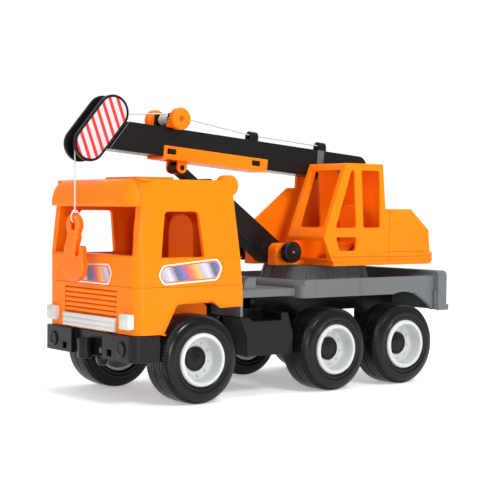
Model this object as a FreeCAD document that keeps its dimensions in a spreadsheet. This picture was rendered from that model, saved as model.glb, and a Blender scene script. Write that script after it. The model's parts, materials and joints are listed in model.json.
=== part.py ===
"""Toy crane truck: a three-axle cab-over truck with a slewing crane, a telescopic boom, a winch and a hook.

The sheet measures along the truck from the front axle (+Y to the rear), across from the middle
plane (+X to the truck's left) and up from the ground (+Z). Boom and strut have frames of their own.
"""

import FreeCAD, Part
import Sketcher

import os

# Named single sizes, in millimetres and degrees.
SIZES = {
    "axle_line_y": -106.5,
    "wheel_radius": 40.0,
    "wheel_centre_x": 69.0,
    "second_axle_y": 155.6,
    "third_axle_y": 246.2,
    "axle_radius": 2.5,
    "axle_half_length": 73.0,
    "running_gap": 0.05,
    "slew_centre_y": 200.0,
    "slew_pin_radius": 6.0,
    "slew_pin_low": 90.0,
    "slew_pin_high": 126.5,
    "collar_radius": 17.0,
    "collar_top": 126.1,
    "slew_head_radius": 9.0,
    "slew_head_height": 3.0,
    "guard_radius": 52.0,
    "peg_radius": 6.5,
    "peg_centre_y": -69.2,
    "peg_low": 38.0,
    "peg_high": 56.0,
    "fog_radius": 7.0,
    "fog_centre_x": 60.0,
    "fog_centre_z": 51.0,
    "fog_face_y": -69.0,
    "fog_depth": 2.5,
    "ear_radius": 9.5,
    "ear_centre_y": 38.5,
    "ear_centre_z": 194.5,
    "ear_x_low": 63.0,
    "ear_x_high": 73.0,
    "seat_gap": 30.0,
    "steering_ring_radius": 13.0,
    "steering_ring_thick": 1.6,
    "steering_x": 32.0,
    "steering_y": -34.0,
    "steering_z": 121.0,
    "steering_tilt": 35.0,
    "boom_pivot_y": 218.0,
    "boom_pivot_z": 211.0,
    "boom_pitch": -4.85,
    "boom_pin_radius": 3.0,
    "boom_half_width": 12.5,
    "head_upper_y": -267.2,
    "head_upper_z": 26.5,
    "head_lower_y": -288.7,
    "head_lower_z": -4.4,
    "head_radius": 16.0,
    "head_plate_inner": 7.0,
    "head_plate_outer": 10.0,
    "sheave_y": -294.4,
    "sheave_z": 0.8,
    "sheave_radius": 3.7,
    "sheave_half_width": 6.6,
    "sheave_pin_radius": 1.8,
    "guide_pin_y": -268.0,
    "guide_pin_z": 22.6,
    "guide_pin_radius": 2.0,
    "winch_y": -202.4,
    "winch_z": 28.4,
    "drum_radius": 4.5,
    "drum_half_length": 9.6,
    "winch_shaft_radius": 2.4,
    "knob_radius": 10.3,
    "knob_inner": 16.5,
    "knob_outer": 24.5,
    "rope_radius": 0.7,
    "guide_hole_radius": 1.6,
    "guide_hole_z": 25.8,
    "front_guide_y": -102.0,
    "rear_guide_y": -14.0,
    "lug_pin_y": -188.2,
    "lug_pin_z": -15.4,
    "lug_radius": 5.2,
    "lug_inner": 7.4,
    "lug_outer": 10.4,
    "lug_pin_radius": 2.5,
    "strut_pivot_y": 139.0,
    "strut_pivot_z": 131.5,
    "strut_lean": 143.89,
    "strut_length": 135.9,
    "strut_pin_radius": 4.0,
    "strut_eye_radius": 4.4,
    "strut_eye_outer": 5.9,
    "strut_rod_half": 7.0,
    "strut_knob_radius": 10.4,
    "strut_knob_inner": 34.0,
    "strut_knob_outer": 41.0,
    "hook_rope_y": -80.0,
    "hook_turn": 10.0,
    "hook_bowl_across": 1.1,
    "hook_bowl_up": 118.0,
    "hook_eye_up": 161.0,
    "hook_hole_up": 157.5,
    "hook_bowl_radius": 10.6,
    "hook_eye_radius": 6.6,
    "hook_eye_hole": 3.0,
    "hook_half_thick": 4.2,
    "screw_head_radius": 3.2,
    "screw_shank_radius": 1.5,
    "screw_x": 18.0,
    "tail_rope_end_y": 4.0,
    "rope_fall_low": 168.2,
    "rope_fall_high": 236.4,
    "side_reach": 90.0,
    "hanger_reach": 27.0,
    "bumper_low": 40.0,
    "bumper_high": 63.0,
    "cab_front": -64.0,
    "cab_rear": 49.5,
    "cab_cavity_front": -52.0,
    "cab_cavity_rear": 31.0,
    "cab_cavity_half": 70.5,
    "screen_cut_front": -80.0,
    "screen_cut_rear": -50.0,
    "steering_hub_radius": 3.0,
    "steering_hub_length": 16.0,
    "steering_hub_low": -14.0,
    "steering_spoke_radius": 1.2,
    "side_box_inner": 47.0,
    "side_box_outer": 75.0,
    "screw_front_y": 80.0,
    "screw_rear_y": 270.0,
    "screw_head_low": 83.0,
    "screw_head_height": 2.0,
    "screw_shank_low": 84.0,
    "screw_shank_length": 12.0,
    "collar_low": 113.0,
    "cheek_outer": -20.0,
    "cheek_inner": -16.8,
    "cabin_inner_x": 14.0,
    "cabin_outer_x": 70.0,
    "cabin_wall": 2.6,
    "cabin_foot_light_depth": 32.0,
    "hood_wall": 2.8,
    "bumper_corner": 9.0,
    "peg_round": 1.2,
    "cab_corner": 10.0,
    "dash_round": 4.0,
    "cab_seat_round": 13.0,
    "headlight_round": 2.0,
    "deck_round": 7.0,
    "tail_round": 5.0,
    "strut_lug_round": 8.0,
    "operator_seat_round": 6.0,
    "strut_knob_round": 1.6,
    "boom_end_round": 11.0,
    "sleeve_round": 8.0,
}

# Named boxes: x low, x high, y low, y high, z low, z high.
BOXES = {
    "frame_beam": (-26, 26, -54, 286, 72, 89),
    "frame_hollow": (-22.5, 22.5, -50, 282, 72, 85),
    "frame_front_drop": (-20, 20, -60, -50, 45, 74),
    "hanger_left": (20, 26, -9, 9, 32, 74),
    "bumper_recess": (-27, 27, -68, -62.5, 40, 63),
    "bumper_slot": (36, 43, -69, -50, 43.5, 49),
    "peg_arm": (-4, 4, -66, -62.5, 50, 56),
    "deck_block": (-84, 84, 116, 288, 90, 107),
    "deck_tray": (-79, 79, 120.5, 284, 101, 107),
    "deck_underside": (-80.5, 80.5, 119, 285, 90, 97.5),
    "deck_spine": (-26, 26, 52, 286, 89, 98),
    "deck_shelf": (-72, 72, 52, 117, 92, 99),
    "deck_shelf_flange": (-72, 72, 52, 55, 74.5, 93),
    "deck_flange_gap": (-26.1, 26.1, 50, 56, 70, 89),
    "deck_fin": (66, 69, 58, 72, 98, 110),
    "deck_skirt": (79.5, 84, 264, 288, 72.5, 92),
    "tail_plate": (-91, 91, 288, 300, 72, 112),
    "tail_lip": (-91, 91, 299, 303, 72, 78),
    "tail_hollow": (-87.5, 87.5, 288, 296.5, 72, 88.8),
    "cab_floor": (-75.4, 75.4, -55.8, 30.8, 89.3, 92.5),
    "cab_rear_notch": (-30, 30, 40, 52, 60, 89.3),
    "cab_dash": (-75, 75, -55.8, -43, 92.5, 124),
    "cab_forehead": (-74, 74, -68, -48, 175.5, 197),
    "cab_grille_hole": (-46, 46, -70, -50, 77, 101),
    "cab_inside_front": (-75.4, 75.4, -60, -51, 60, 127.5),
    "cab_hatch": (-27, 27, -32, 8, 198, 202),
    "grille_panel": (-46, 46, -61.5, -56, 77, 101),
    "grille_slat": (-45, 45, -63.4, -61, 79, 82),
    "grille_strip": (-46, 46, -66.6, -64, 64.5, 77),
    "headlight": (56.7, 73, -69.5, -60, 68, 82),
    "seat_base": (-17, 17, -18, 20, 92.5, 113),
    "seat_back": (-17, 17, 18, 32, 92.5, 154),
    "side_arm": (26, 47, 66, 96, 66, 80),
    "upper_floor": (-46, 70, 166, 296, 118.4, 123),
    "upper_tongue": (-26, 26, 130, 170, 118.4, 123),
    "upper_notch": (-12.2, 12.2, 120, 156, 118, 124),
    "strut_lug": (12.2, 25, 130, 148, 118.4, 140),
    "cabin_front_light": (19.5, 64.5, 140, 190, 155.5, 212),
    "operator_seat_base": (32, 54, 188, 212, 123, 141),
    "operator_seat_back": (32, 54, 209, 218, 140, 178),
    "boom_hollow": (-10, 10, -280, -22, -4.6, 17.6),
    "inner_beam": (-9.7, 9.7, -262, -134, -4.3, 17.3),
    "inner_neck": (-7, 7, -272, -250, -4.3, 17.3),
    "inner_hollow": (-6.5, 6.5, -250, -130, -1.5, 14.5),
    "bracket_body": (-14.6, 14.6, -212.5, -91, -9.4, 3),
    "bracket_strut_gap": (-7.4, 7.4, -201, -176, -22, -6),
    "bracket_channel": (-12.6, 12.6, -213, -90, -7, 4),
    "bracket_window_front": (-16, 16, -209, -199, -4.6, 0.4),
    "bracket_window_rear": (-16, 16, -110, -100, -4.6, 0.4),
    "latch_front": (12.5, 15.4, -207.5, -200.5, -4, -0.2),
    "latch_rear": (12.5, 15.4, -108.5, -101.5, -4, -0.2),
    "winch_post": (10.2, 12.5, -209, -196, 20, 33.5),
    "strap": (12.5, 13.2, -27, -18.5, 6, 20),
    "guide_block": (-4.6, 4.6, -5, 5, 20, 25.5),
    "sleeve_body": (-11, 11, -9, 104, -11.5, 11.5),
    "sleeve_hollow": (-7.35, 7.35, 14, 110, -4.15, 4.15),
    "rod_body": (-7, 7, 18, 132, -3.8, 3.8),
}

# Named outlines: pairs along the two axes of the plane that they are drawn on.
OUTLINES = {
    "bumper_plan": [
        (-80, -40), (-80, -68), (80, -68), (80, -40), (76, -40), (76, -60), (-76, -60), (-76, -40),
    ],
    "cab_front_view": [
        (-78.5, 63.6), (78.5, 63.6), (78.5, 131), (73.6, 199), (-73.6, 199), (-78.5, 131),
    ],
    "cab_inside_view": [
        (-75.8, 60), (75.8, 60), (75.8, 128.5), (73.7, 131.5), (70.8, 196.2), (-70.8, 196.2),
        (-73.7, 131.5), (-75.8, 128.5),
    ],
    "cab_inside_rear": [(30, 60), (46.4, 60), (46.4, 105), (37, 196), (30, 196)],
    "cab_slope_cut": [(-70, 131), (-64, 131), (-61.8, 133), (-57, 178), (-57, 200), (-70, 200)],
    "cab_rear_cut": [(49.1, 105), (60, 105), (60, 205), (39, 205)],
    "cab_arch": [(-37.7, 60), (-22, 89), (15.5, 91), (25.5, 84.5), (60, 85.4), (60, 60)],
    "cab_door_light": [(-39, 130.5), (7.5, 130.5), (2.5, 171), (-33.5, 171)],
    "cab_screen": [(-68.2, 132.2), (68.2, 132.2), (66.1, 174.7), (-66.1, 174.7)],
    "side_box": [
        (50, 74), (58, 55), (58, 38), (112, 38), (112, 57.6), (105.5, 77), (98, 77), (98, 70), (64, 70),
        (60, 74),
    ],
    "pedestal": [(0, 101), (56, 101), (51, 118), (18, 118), (18, 112), (0, 112)],
    "tyre": [
        (-18, 24), (-18, 32.5), (-15.5, 38.6), (-12.5, 40), (12.5, 40), (15.5, 38.6), (18, 32.5),
        (18, 24),
    ],
    "rim": [
        (-16, 2.5), (-16, 7), (2, 7), (2, 21), (-16, 21), (-16, 24), (17, 24), (17, 23.2), (19.5, 22.6),
        (19.5, 20.4), (5, 19), (5, 2.5),
    ],
    "hub_cap": [(5, 0), (5, 10.9), (6.6, 10.9), (7.8, 9.6), (7.8, 0)],
    "cheek": [
        (150, 143), (129, 157), (178.5, 195), (189, 195), (190, 208.5), (200, 219), (230, 219),
        (238, 123), (150, 123),
    ],
    "cabin": [(164, 123), (153.4, 146), (155.9, 153), (181, 218.6), (229.5, 218.6), (238, 123)],
    "cabin_inside": [
        (166.6, 122), (156.4, 146.2), (158.8, 152.6), (182.6, 216), (226.8, 216), (234.9, 122),
    ],
    "cabin_light_front": [(168, 155.5), (195, 155.5), (192, 212), (188, 212)],
    "cabin_light_rear": [(204, 155.5), (227, 155.5), (225, 212), (201, 212)],
    "cabin_light_low": [(168.5, 146.5), (195.5, 146.5), (194.5, 133), (173.5, 133)],
    "cabin_foot_light": [(20, 126), (64, 126), (64, 143), (20, 143)],
    "hood": [
        (238.5, 118.4), (233.8, 174.2), (268.8, 174.2), (294, 153), (296.2, 130.3), (299.5, 130.3),
        (299.5, 121.4), (296, 118.4),
    ],
    "hood_inside": [
        (241.8, 118), (237.6, 171.4), (267.6, 171.4), (291.2, 151.8), (293.4, 129), (293.4, 118),
    ],
    "hook_tip": [(11.5, 130), (11, 136.5), (9.4, 139.5), (7.4, 137.5)],
    "hook_throat": [(7, 130), (5.8, 128.2), (3.8, 128.2), (2.6, 130), (2.6, 147), (5, 151)],
    "hook_shank": [(-6.2, 152), (-8.6, 143), (-9.4, 130)],
    "boom_side": [(-270.3, -7), (-251.5, 20), (41, 20), (41, -7)],
    "seam_cut": [(-300, -15), (-275.4, -15), (-251.0, 20), (-251, 30), (-300, 30)],
}

doc = FreeCAD.newDocument("toy_crane_truck")
sheet = doc.addObject("Spreadsheet::Sheet", "Dims")
made = []


def fill_sheet():
    """Write every named size, box and outline into the sheet as plain numbers with aliases."""
    cells = dict(SIZES)
    edges = ("x_low", "x_high", "y_low", "y_high", "z_low", "z_high")
    for name, box in BOXES.items():
        for edge, value in zip(edges, box):
            cells[f"{name}_{edge}"] = value
    for name, points in OUTLINES.items():
        for number, point in enumerate(points, 1):
            cells[f"{name}_across_{number}"] = point[0]
            cells[f"{name}_along_{number}"] = point[1]
    for row, (alias, value) in enumerate(cells.items(), 1):
        sheet.set(f"A{row}", alias)
        sheet.set(f"B{row}", str(value))
        sheet.setAlias(f"B{row}", alias)
    doc.recompute()
    return cells


CELLS = fill_sheet()


def bound(text):
    """The text with each alias written the way an expression reads it."""
    words, word = [], ""
    for letter in text + " ":
        if letter.isalnum() or letter == "_":
            word += letter
            continue
        words.append(("Dims." + word) if word in CELLS else word)
        words.append(letter)
        word = ""
    return "".join(words).strip()


def value(text):
    """The number that an expression stands for now."""
    return float(sheet.evalExpression(bound(text)))


def bind(thing, prop, text):
    thing.setExpression(prop, bound(text))


# ---------------------------------------------------------------- sketches and features

ROLES = {"XY": "XY_Plane", "XZ": "XZ_Plane", "YZ": "YZ_Plane"}


def new_body(label, along="axle_line_y", up="0", lean=None, across="0"):
    """An empty body placed in the truck, leaning about X where it has a frame of its own."""
    body = doc.addObject("PartDesign::Body", label)
    body.Label = label
    if lean is not None:
        body.Placement = FreeCAD.Placement(
            FreeCAD.Vector(), FreeCAD.Rotation(FreeCAD.Vector(1, 0, 0), value(lean))
        )
        bind(body, ".Placement.Rotation.Angle", lean)
    bind(body, ".Placement.Base.x", across)
    bind(body, ".Placement.Base.y", along)
    bind(body, ".Placement.Base.z", up)
    made.append(body)
    return body


def boom_body(label):
    return new_body(label, "axle_line_y + boom_pivot_y", "boom_pivot_z", "boom_pitch")


def strut_body(label):
    return new_body(label, "axle_line_y + strut_pivot_y", "strut_pivot_z", "strut_lean")


def new_sketch(body, plane, level):
    """A sketch on one of the body's own planes, moved along that plane's normal to the level."""
    sketch = body.newObject("Sketcher::SketchObject", body.Name + "_sketch")
    support = [f for f in body.Origin.OriginFeatures if f.Role == ROLES[plane]][0]
    sketch.AttachmentSupport = (support, "")
    sketch.MapMode = "FlatFace"
    bind(sketch, ".AttachmentOffset.Base.z", level)
    return sketch


def draw_outline(sketch, points):
    """A closed outline whose corners are held by bound distances from the sketch's origin."""
    numbers = [FreeCAD.Vector(value(a), value(b), 0) for a, b in points]
    count = len(numbers)
    lines = [
        sketch.addGeometry(Part.LineSegment(numbers[i], numbers[(i + 1) % count]), False)
        for i in range(count)
    ]
    for i in range(count):
        join = Sketcher.Constraint("Coincident", lines[i], 2, lines[(i + 1) % count], 1)
        sketch.addConstraint(join)
    for line, number, point in zip(lines, numbers, points):
        for kind, size, text in (("DistanceX", number.x, point[0]), ("DistanceY", number.y, point[1])):
            if abs(size) < 1e-9:
                on_axis = -2 if kind == "DistanceX" else -1
                sketch.addConstraint(Sketcher.Constraint("PointOnObject", line, 1, on_axis))
                continue
            held = sketch.addConstraint(Sketcher.Constraint(kind, -1, 1, line, 1, size))
            bind(sketch, f"Constraints[{held}]", text)


def draw_circle(sketch, across, along, radius):
    """A circle held by its centre and its bound radius."""
    centre = FreeCAD.Vector(value(across), value(along), 0)
    ring = sketch.addGeometry(Part.Circle(centre, FreeCAD.Vector(0, 0, 1), value(radius)), False)
    held = sketch.addConstraint(Sketcher.Constraint("Radius", ring, value(radius)))
    bind(sketch, f"Constraints[{held}]", radius)
    for kind, size, text in (("DistanceX", centre.x, across), ("DistanceY", centre.y, along)):
        if abs(size) < 1e-9:
            on_axis = -2 if kind == "DistanceX" else -1
            sketch.addConstraint(Sketcher.Constraint("PointOnObject", ring, 3, on_axis))
            continue
        held = sketch.addConstraint(Sketcher.Constraint(kind, -1, 1, ring, 3, size))
        bind(sketch, f"Constraints[{held}]", text)


def extrude(body, plane, low, high, draw, cut=False):
    """Add or remove what is drawn, between two levels along the plane's world axis."""
    if plane == "XZ":
        low, high = f"-({high})", f"-({low})"
    sketch = new_sketch(body, plane, high if cut else low)
    draw(sketch)
    before = body.Shape.Volume if body.Tip else 0.0
    feature = body.newObject("PartDesign::Pocket" if cut else "PartDesign::Pad", body.Name + "_form")
    feature.Profile = sketch
    bind(feature, "Length", f"({high}) - ({low})")
    doc.recompute()
    change = body.Shape.Volume - before
    if (-change if cut else change) < 1e-3:
        raise RuntimeError(f"{body.Label}: {feature.Name} changed nothing")
    return feature


def outline(name):
    """The aliases of a named outline's corners, in order."""
    return [(f"{name}_across_{i}", f"{name}_along_{i}") for i in range(1, len(OUTLINES[name]) + 1)]


def slab(body, plane, name, low, high, cut=False):
    """A named outline between two levels."""
    return extrude(body, plane, low, high, lambda s: draw_outline(s, outline(name)), cut)


def block(body, name, cut=False, mirrored=False, shift=("0", "0", "0")):
    """A named box, or its mirror image across the middle plane, shifted where asked."""
    low, high = f"{name}_x_low", f"{name}_x_high"
    if mirrored:
        low, high = f"-{name}_x_high", f"-{name}_x_low"
    low, high = f"{low} + {shift[0]}", f"{high} + {shift[0]}"
    near, far = f"{name}_y_low + {shift[1]}", f"{name}_y_high + {shift[1]}"
    corners = [(low, near), (high, near), (high, far), (low, far)]
    bottom, top = f"{name}_z_low + {shift[2]}", f"{name}_z_high + {shift[2]}"
    return extrude(body, "XY", bottom, top, lambda s: draw_outline(s, corners), cut)


def disc(body, plane, across, along, radius, low, high, cut=False):
    return extrude(body, plane, low, high, lambda s: draw_circle(s, across, along, radius), cut)


def turned(body, plane, name, axis, out=None, side=1):
    """A named outline turned about the sketch's H_Axis or V_Axis, pushed out to one side if asked."""
    sketch = new_sketch(body, plane, "0")
    points = outline(name)
    if out:
        points = [(f"{side} * ({out} + {a})", b) for a, b in points]
    draw_outline(sketch, points)
    feature = body.newObject("PartDesign::Revolution", body.Name + "_turned")
    feature.Profile = sketch
    feature.ReferenceAxis = (sketch, [axis])
    feature.Angle = 360
    doc.recompute()
    return feature


def round_edges(body, radius, wanted):
    """Round the edges of the body so far that the test accepts."""
    base = body.Tip
    names = [f"Edge{i}" for i, edge in enumerate(base.Shape.Edges, 1) if wanted(edge)]
    if not names:
        raise RuntimeError(f"{body.Label}: no edge to round")
    feature = body.newObject("PartDesign::Fillet", body.Name + "_round")
    feature.Base = (base, names)
    bind(feature, "Radius", radius)
    doc.recompute()
    return feature


def runs_along(axis, **at):
    """A test for straight edges along an axis whose middle lies at the given coordinates."""

    def test(edge):
        if edge.Curve.TypeId != "Part::GeomLine":
            return False
        step = edge.Vertexes[-1].Point.sub(edge.Vertexes[0].Point)
        if abs(abs(getattr(step, axis)) - step.Length) > 0.05 * step.Length:
            return False
        middle = edge.CenterOfMass
        return all(min(abs(getattr(middle, k) - v) for v in spots) < 0.6 for k, spots in at.items())

    return test


def cylinder(name, radius, length, across, along, up, axis):
    """A Part cylinder along an axis, from a start point."""
    rod = doc.addObject("Part::Cylinder", name)
    bind(rod, "Radius", radius)
    bind(rod, "Height", length)
    rod.Placement = FreeCAD.Placement(FreeCAD.Vector(), FreeCAD.Rotation(FreeCAD.Vector(0, 0, 1), axis))
    bind(rod, ".Placement.Base.x", across)
    bind(rod, ".Placement.Base.y", along)
    bind(rod, ".Placement.Base.z", up)
    return rod


def group(label, pieces, along="axle_line_y", up="0", lean=None):
    """Several Part solids as one named sub-part."""
    node = doc.addObject("Part::MultiFuse" if len(pieces) > 1 else "Part::Compound", label)
    node.Label = label
    if len(pieces) > 1:
        node.Shapes = pieces
    else:
        node.Links = pieces
    if lean is not None:
        turn = FreeCAD.Rotation(FreeCAD.Vector(1, 0, 0), value(lean))
        node.Placement = FreeCAD.Placement(FreeCAD.Vector(), turn)
        bind(node, ".Placement.Rotation.Angle", lean)
    bind(node, ".Placement.Base.y", along)
    bind(node, ".Placement.Base.z", up)
    doc.recompute()
    made.append(node)
    return node


ACROSS = FreeCAD.Vector(1, 0, 0)
UP = FreeCAD.Vector(0, 0, 1)

# ---------------------------------------------------------------- wheels and axles

AXLES = {"front": "0", "middle": "second_axle_y", "rear": "third_axle_y"}


def wheel_set(name, axle_y):
    """One axle with its two tyres, rims and hub caps, which turn together."""
    along, up = f"axle_line_y + {axle_y}", "wheel_radius"
    shaft = cylinder(
        f"shaft_{name}", "axle_radius", "2 * axle_half_length", "-axle_half_length", "0", "0", ACROSS
    )
    group(f"axle_{name}", [shaft], along, up)
    for piece in ("tyre", "rim", "hub_cap"):
        body = new_body(f"{piece}s_{name}", along, up)
        for side in (1, -1):
            turned(body, "XY", piece, "H_Axis", "wheel_centre_x", side)


# ---------------------------------------------------------------- chassis


def chassis_frame():
    """The long hollow beam with the six axle hangers and the front drop that carries the bumper."""
    body = new_body("chassis_frame")
    block(body, "frame_beam")
    block(body, "frame_hollow", cut=True)
    block(body, "frame_front_drop")
    for axle_y in AXLES.values():
        for mirrored in (False, True):
            block(body, "hanger_left", mirrored=mirrored, shift=("0", axle_y, "0"))
    for axle_y in AXLES.values():
        hole = "axle_radius + running_gap"
        disc(body, "YZ", axle_y, "wheel_radius", hole, "-hanger_reach", "hanger_reach", cut=True)
    disc(body, "XY", "0", "slew_centre_y", "slew_pin_radius + running_gap",
         "frame_hollow_z_high - 1", "frame_beam_z_high + 1", cut=True)


def bumper():
    body = new_body("bumper")
    slab(body, "XY", "bumper_plan", "bumper_low", "bumper_high")
    round_edges(body, "bumper_corner", runs_along("z", x=(-80, 80), y=(-68,)))
    block(body, "bumper_recess", cut=True)
    for mirrored in (False, True):
        block(body, "bumper_slot", cut=True, mirrored=mirrored)


def tow_peg():
    """A round peg that hangs in the bumper's recess, free at its lower end."""
    body = new_body("tow_peg")
    disc(body, "XY", "0", "peg_centre_y", "peg_radius", "peg_low", "peg_high")
    block(body, "peg_arm")
    lowest = value("peg_low") + 0.1
    round_edges(
        body, "peg_round", lambda e: e.Curve.TypeId == "Part::GeomCircle" and e.BoundBox.ZMax < lowest
    )


def fog_lamps():
    lamps = [
        cylinder(
            f"fog_{side}",
            "fog_radius",
            "fog_depth",
            f"{sign} * fog_centre_x",
            "fog_face_y",
            "fog_centre_z",
            FreeCAD.Vector(0, 1, 0),
        )
        for side, sign in (("left", 1), ("right", -1))
    ]
    group("fog_lamps", lamps)


def cab_shell():
    """The hollow cab: walls, roof, forehead, wheel arches, door windows and windscreen opening."""
    body = new_body("cab_shell")
    slab(body, "XZ", "cab_front_view", "cab_front", "cab_rear")
    foremost = value("cab_front") + 0.1
    round_edges(
        body, "cab_corner", lambda e: e.CenterOfMass.y < foremost and abs(e.CenterOfMass.x) > 75
    )
    slab(body, "YZ", "cab_slope_cut", "-side_reach", "side_reach", cut=True)
    slab(body, "YZ", "cab_rear_cut", "-side_reach", "side_reach", cut=True)
    block(body, "cab_forehead")
    block(body, "cab_hatch")
    for low, high in (("ear_x_low", "ear_x_high"), ("-ear_x_high", "-ear_x_low")):
        disc(body, "YZ", "ear_centre_y", "ear_centre_z", "ear_radius", low, high)
    slab(body, "XZ", "cab_inside_view", "cab_cavity_front", "cab_cavity_rear", cut=True)
    block(body, "cab_inside_front", cut=True)
    slab(body, "YZ", "cab_inside_rear", "-cab_cavity_half", "cab_cavity_half", cut=True)
    slab(body, "YZ", "cab_arch", "-side_reach", "side_reach", cut=True)
    slab(body, "YZ", "cab_door_light", "-side_reach", "side_reach", cut=True)
    slab(body, "XZ", "cab_screen", "screen_cut_front", "screen_cut_rear", cut=True)
    block(body, "cab_grille_hole", cut=True)
    block(body, "cab_rear_notch", cut=True)


def cab_fittings():
    """Floor, dashboard, seats, steering wheel, grille, strip and lamps of the cab."""
    floor = new_body("cab_floor")
    block(floor, "cab_floor")
    dash = new_body("dashboard")
    block(dash, "cab_dash")
    round_edges(dash, "dash_round", runs_along("x", y=(-43,), z=(124,)))
    seats = new_body("cab_seats")
    for side in ("-seat_gap", "seat_gap"):
        block(seats, "seat_base", shift=(side, "0", "0"))
        block(seats, "seat_back", shift=(side, "0", "0"))
    round_edges(seats, "cab_seat_round", runs_along("y", z=(154,)))
    grille = new_body("grille")
    block(grille, "grille_panel")
    for row in range(5):
        block(grille, "grille_slat", shift=("0", "0", f"{row} * 4.4"))
    strip = new_body("grille_strip")
    block(strip, "grille_strip")
    lamps = new_body("headlights")
    for mirrored in (False, True):
        block(lamps, "headlight", mirrored=mirrored)
    round_edges(lamps, "headlight_round", runs_along("y", x=(-73, -56.7, 56.7, 73)))


def steering_wheel():
    """A ring on a short column, tilted towards the driver."""
    ring = doc.addObject("Part::Torus", "steering_ring")
    bind(ring, "Radius1", "steering_ring_radius")
    bind(ring, "Radius2", "steering_ring_thick")
    hub = cylinder(
        "steering_hub", "steering_hub_radius", "steering_hub_length", "0", "0", "steering_hub_low", UP
    )
    spoke = cylinder(
        "steering_spoke", "steering_spoke_radius", "2 * steering_ring_radius", "-steering_ring_radius",
        "0", "0", ACROSS,
    )
    node = group("steering_wheel", [ring, hub, spoke])
    node.Placement = FreeCAD.Placement(
        node.Placement.Base, FreeCAD.Rotation(FreeCAD.Vector(1, 0, 0), value("steering_tilt"))
    )
    bind(node, ".Placement.Rotation.Angle", "steering_tilt")
    bind(node, ".Placement.Base.x", "steering_x")
    bind(node, ".Placement.Base.y", "axle_line_y + steering_y")
    bind(node, ".Placement.Base.z", "steering_z")


def deck():
    """The load deck: tray, shelf behind the cab, side skirts round the rear wheels."""
    body = new_body("deck")
    block(body, "deck_block")
    round_edges(body, "deck_round", runs_along("x", y=(116,), z=(107,)))
    block(body, "deck_tray", cut=True)
    block(body, "deck_underside", cut=True)
    block(body, "deck_shelf")
    block(body, "deck_shelf_flange")
    block(body, "deck_flange_gap", cut=True)
    for mirrored in (False, True):
        block(body, "deck_fin", mirrored=mirrored)
        block(body, "deck_skirt", mirrored=mirrored)
    disc(body, "YZ", "third_axle_y", "wheel_radius", "guard_radius", "-side_reach", "side_reach",
         cut=True)
    block(body, "deck_spine")
    disc(body, "XY", "0", "slew_centre_y", "slew_pin_radius + running_gap", "deck_spine_z_low - 1",
         "deck_tray_z_low + 1", cut=True)


def tail_board():
    body = new_body("tail_board")
    block(body, "tail_plate")
    round_edges(body, "tail_round", runs_along("y", x=(-91, 91), z=(112,)))
    block(body, "tail_hollow", cut=True)
    block(body, "tail_lip")


def pedestal():
    """The fixed round base that the crane turns on."""
    body = new_body("pedestal", "axle_line_y + slew_centre_y")
    turned(body, "XZ", "pedestal", "V_Axis")
    disc(body, "XY", "0", "0", "slew_pin_radius + running_gap", "pedestal_along_1 - 1",
         "pedestal_along_3 + 1", cut=True)


def slew_pin():
    """The upright pin, fixed in the deck, that the crane turns about, with its head on top."""
    pin = cylinder("slew_shank", "slew_pin_radius", "slew_pin_high - slew_pin_low", "0",
                   "slew_centre_y", "slew_pin_low", UP)
    head = cylinder("slew_head", "slew_head_radius", "slew_head_height", "0",
                    "slew_centre_y", "slew_pin_high", UP)
    group("slew_pin", [pin, head])


def side_boxes():
    for side, low, high in (
        ("left", "side_box_inner", "side_box_outer"), ("right", "-side_box_outer", "-side_box_inner")
    ):
        body = new_body(f"side_box_{side}")
        slab(body, "YZ", "side_box", low, high)
        block(body, "side_arm", mirrored=side == "right")


def deck_screws():
    """Four screws that hold the deck down on the beam."""
    pieces = []
    spots = [(a, b) for a in ("screw_x", "-screw_x") for b in ("screw_front_y", "screw_rear_y")]
    for number, (across, along) in enumerate(spots, 1):
        head = cylinder(f"screw_head_{number}", "screw_head_radius", "screw_head_height", across,
                        along, "screw_head_low", UP)
        shank = cylinder(f"screw_shank_{number}", "screw_shank_radius", "screw_shank_length", across,
                         along, "screw_shank_low", UP)
        pieces += [head, shank]
    group("deck_screws", pieces)


# ---------------------------------------------------------------- turning upper part


def upper_base():
    """The crane's floor with the collar round the slew pin and the lugs for the strut."""
    body = new_body("upper_base")
    block(body, "upper_floor")
    block(body, "upper_tongue")
    block(body, "upper_notch", cut=True)
    for mirrored in (False, True):
        block(body, "strut_lug", mirrored=mirrored)
    round_edges(body, "strut_lug_round", runs_along("x", y=(130, 148), z=(140,)))
    collar = "slew_pin_radius + running_gap"
    disc(body, "XY", "0", "slew_centre_y", "collar_radius", "collar_low", "collar_top")
    disc(body, "XY", "0", "slew_centre_y", collar, "collar_low - 1", "collar_top + 1", cut=True)
    disc(body, "YZ", "strut_pivot_y", "strut_pivot_z", "strut_pin_radius", "-strut_lug_x_high - 1",
         "strut_lug_x_high + 1", cut=True)


def cheek_plate():
    """The right-hand side plate that carries one end of the boom's pin."""
    body = new_body("cheek_plate")
    slab(body, "YZ", "cheek", "cheek_outer", "cheek_inner")
    disc(body, "YZ", "boom_pivot_y", "boom_pivot_z", "boom_pin_radius", "cheek_outer - 1",
         "cheek_inner + 1", cut=True)


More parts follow.
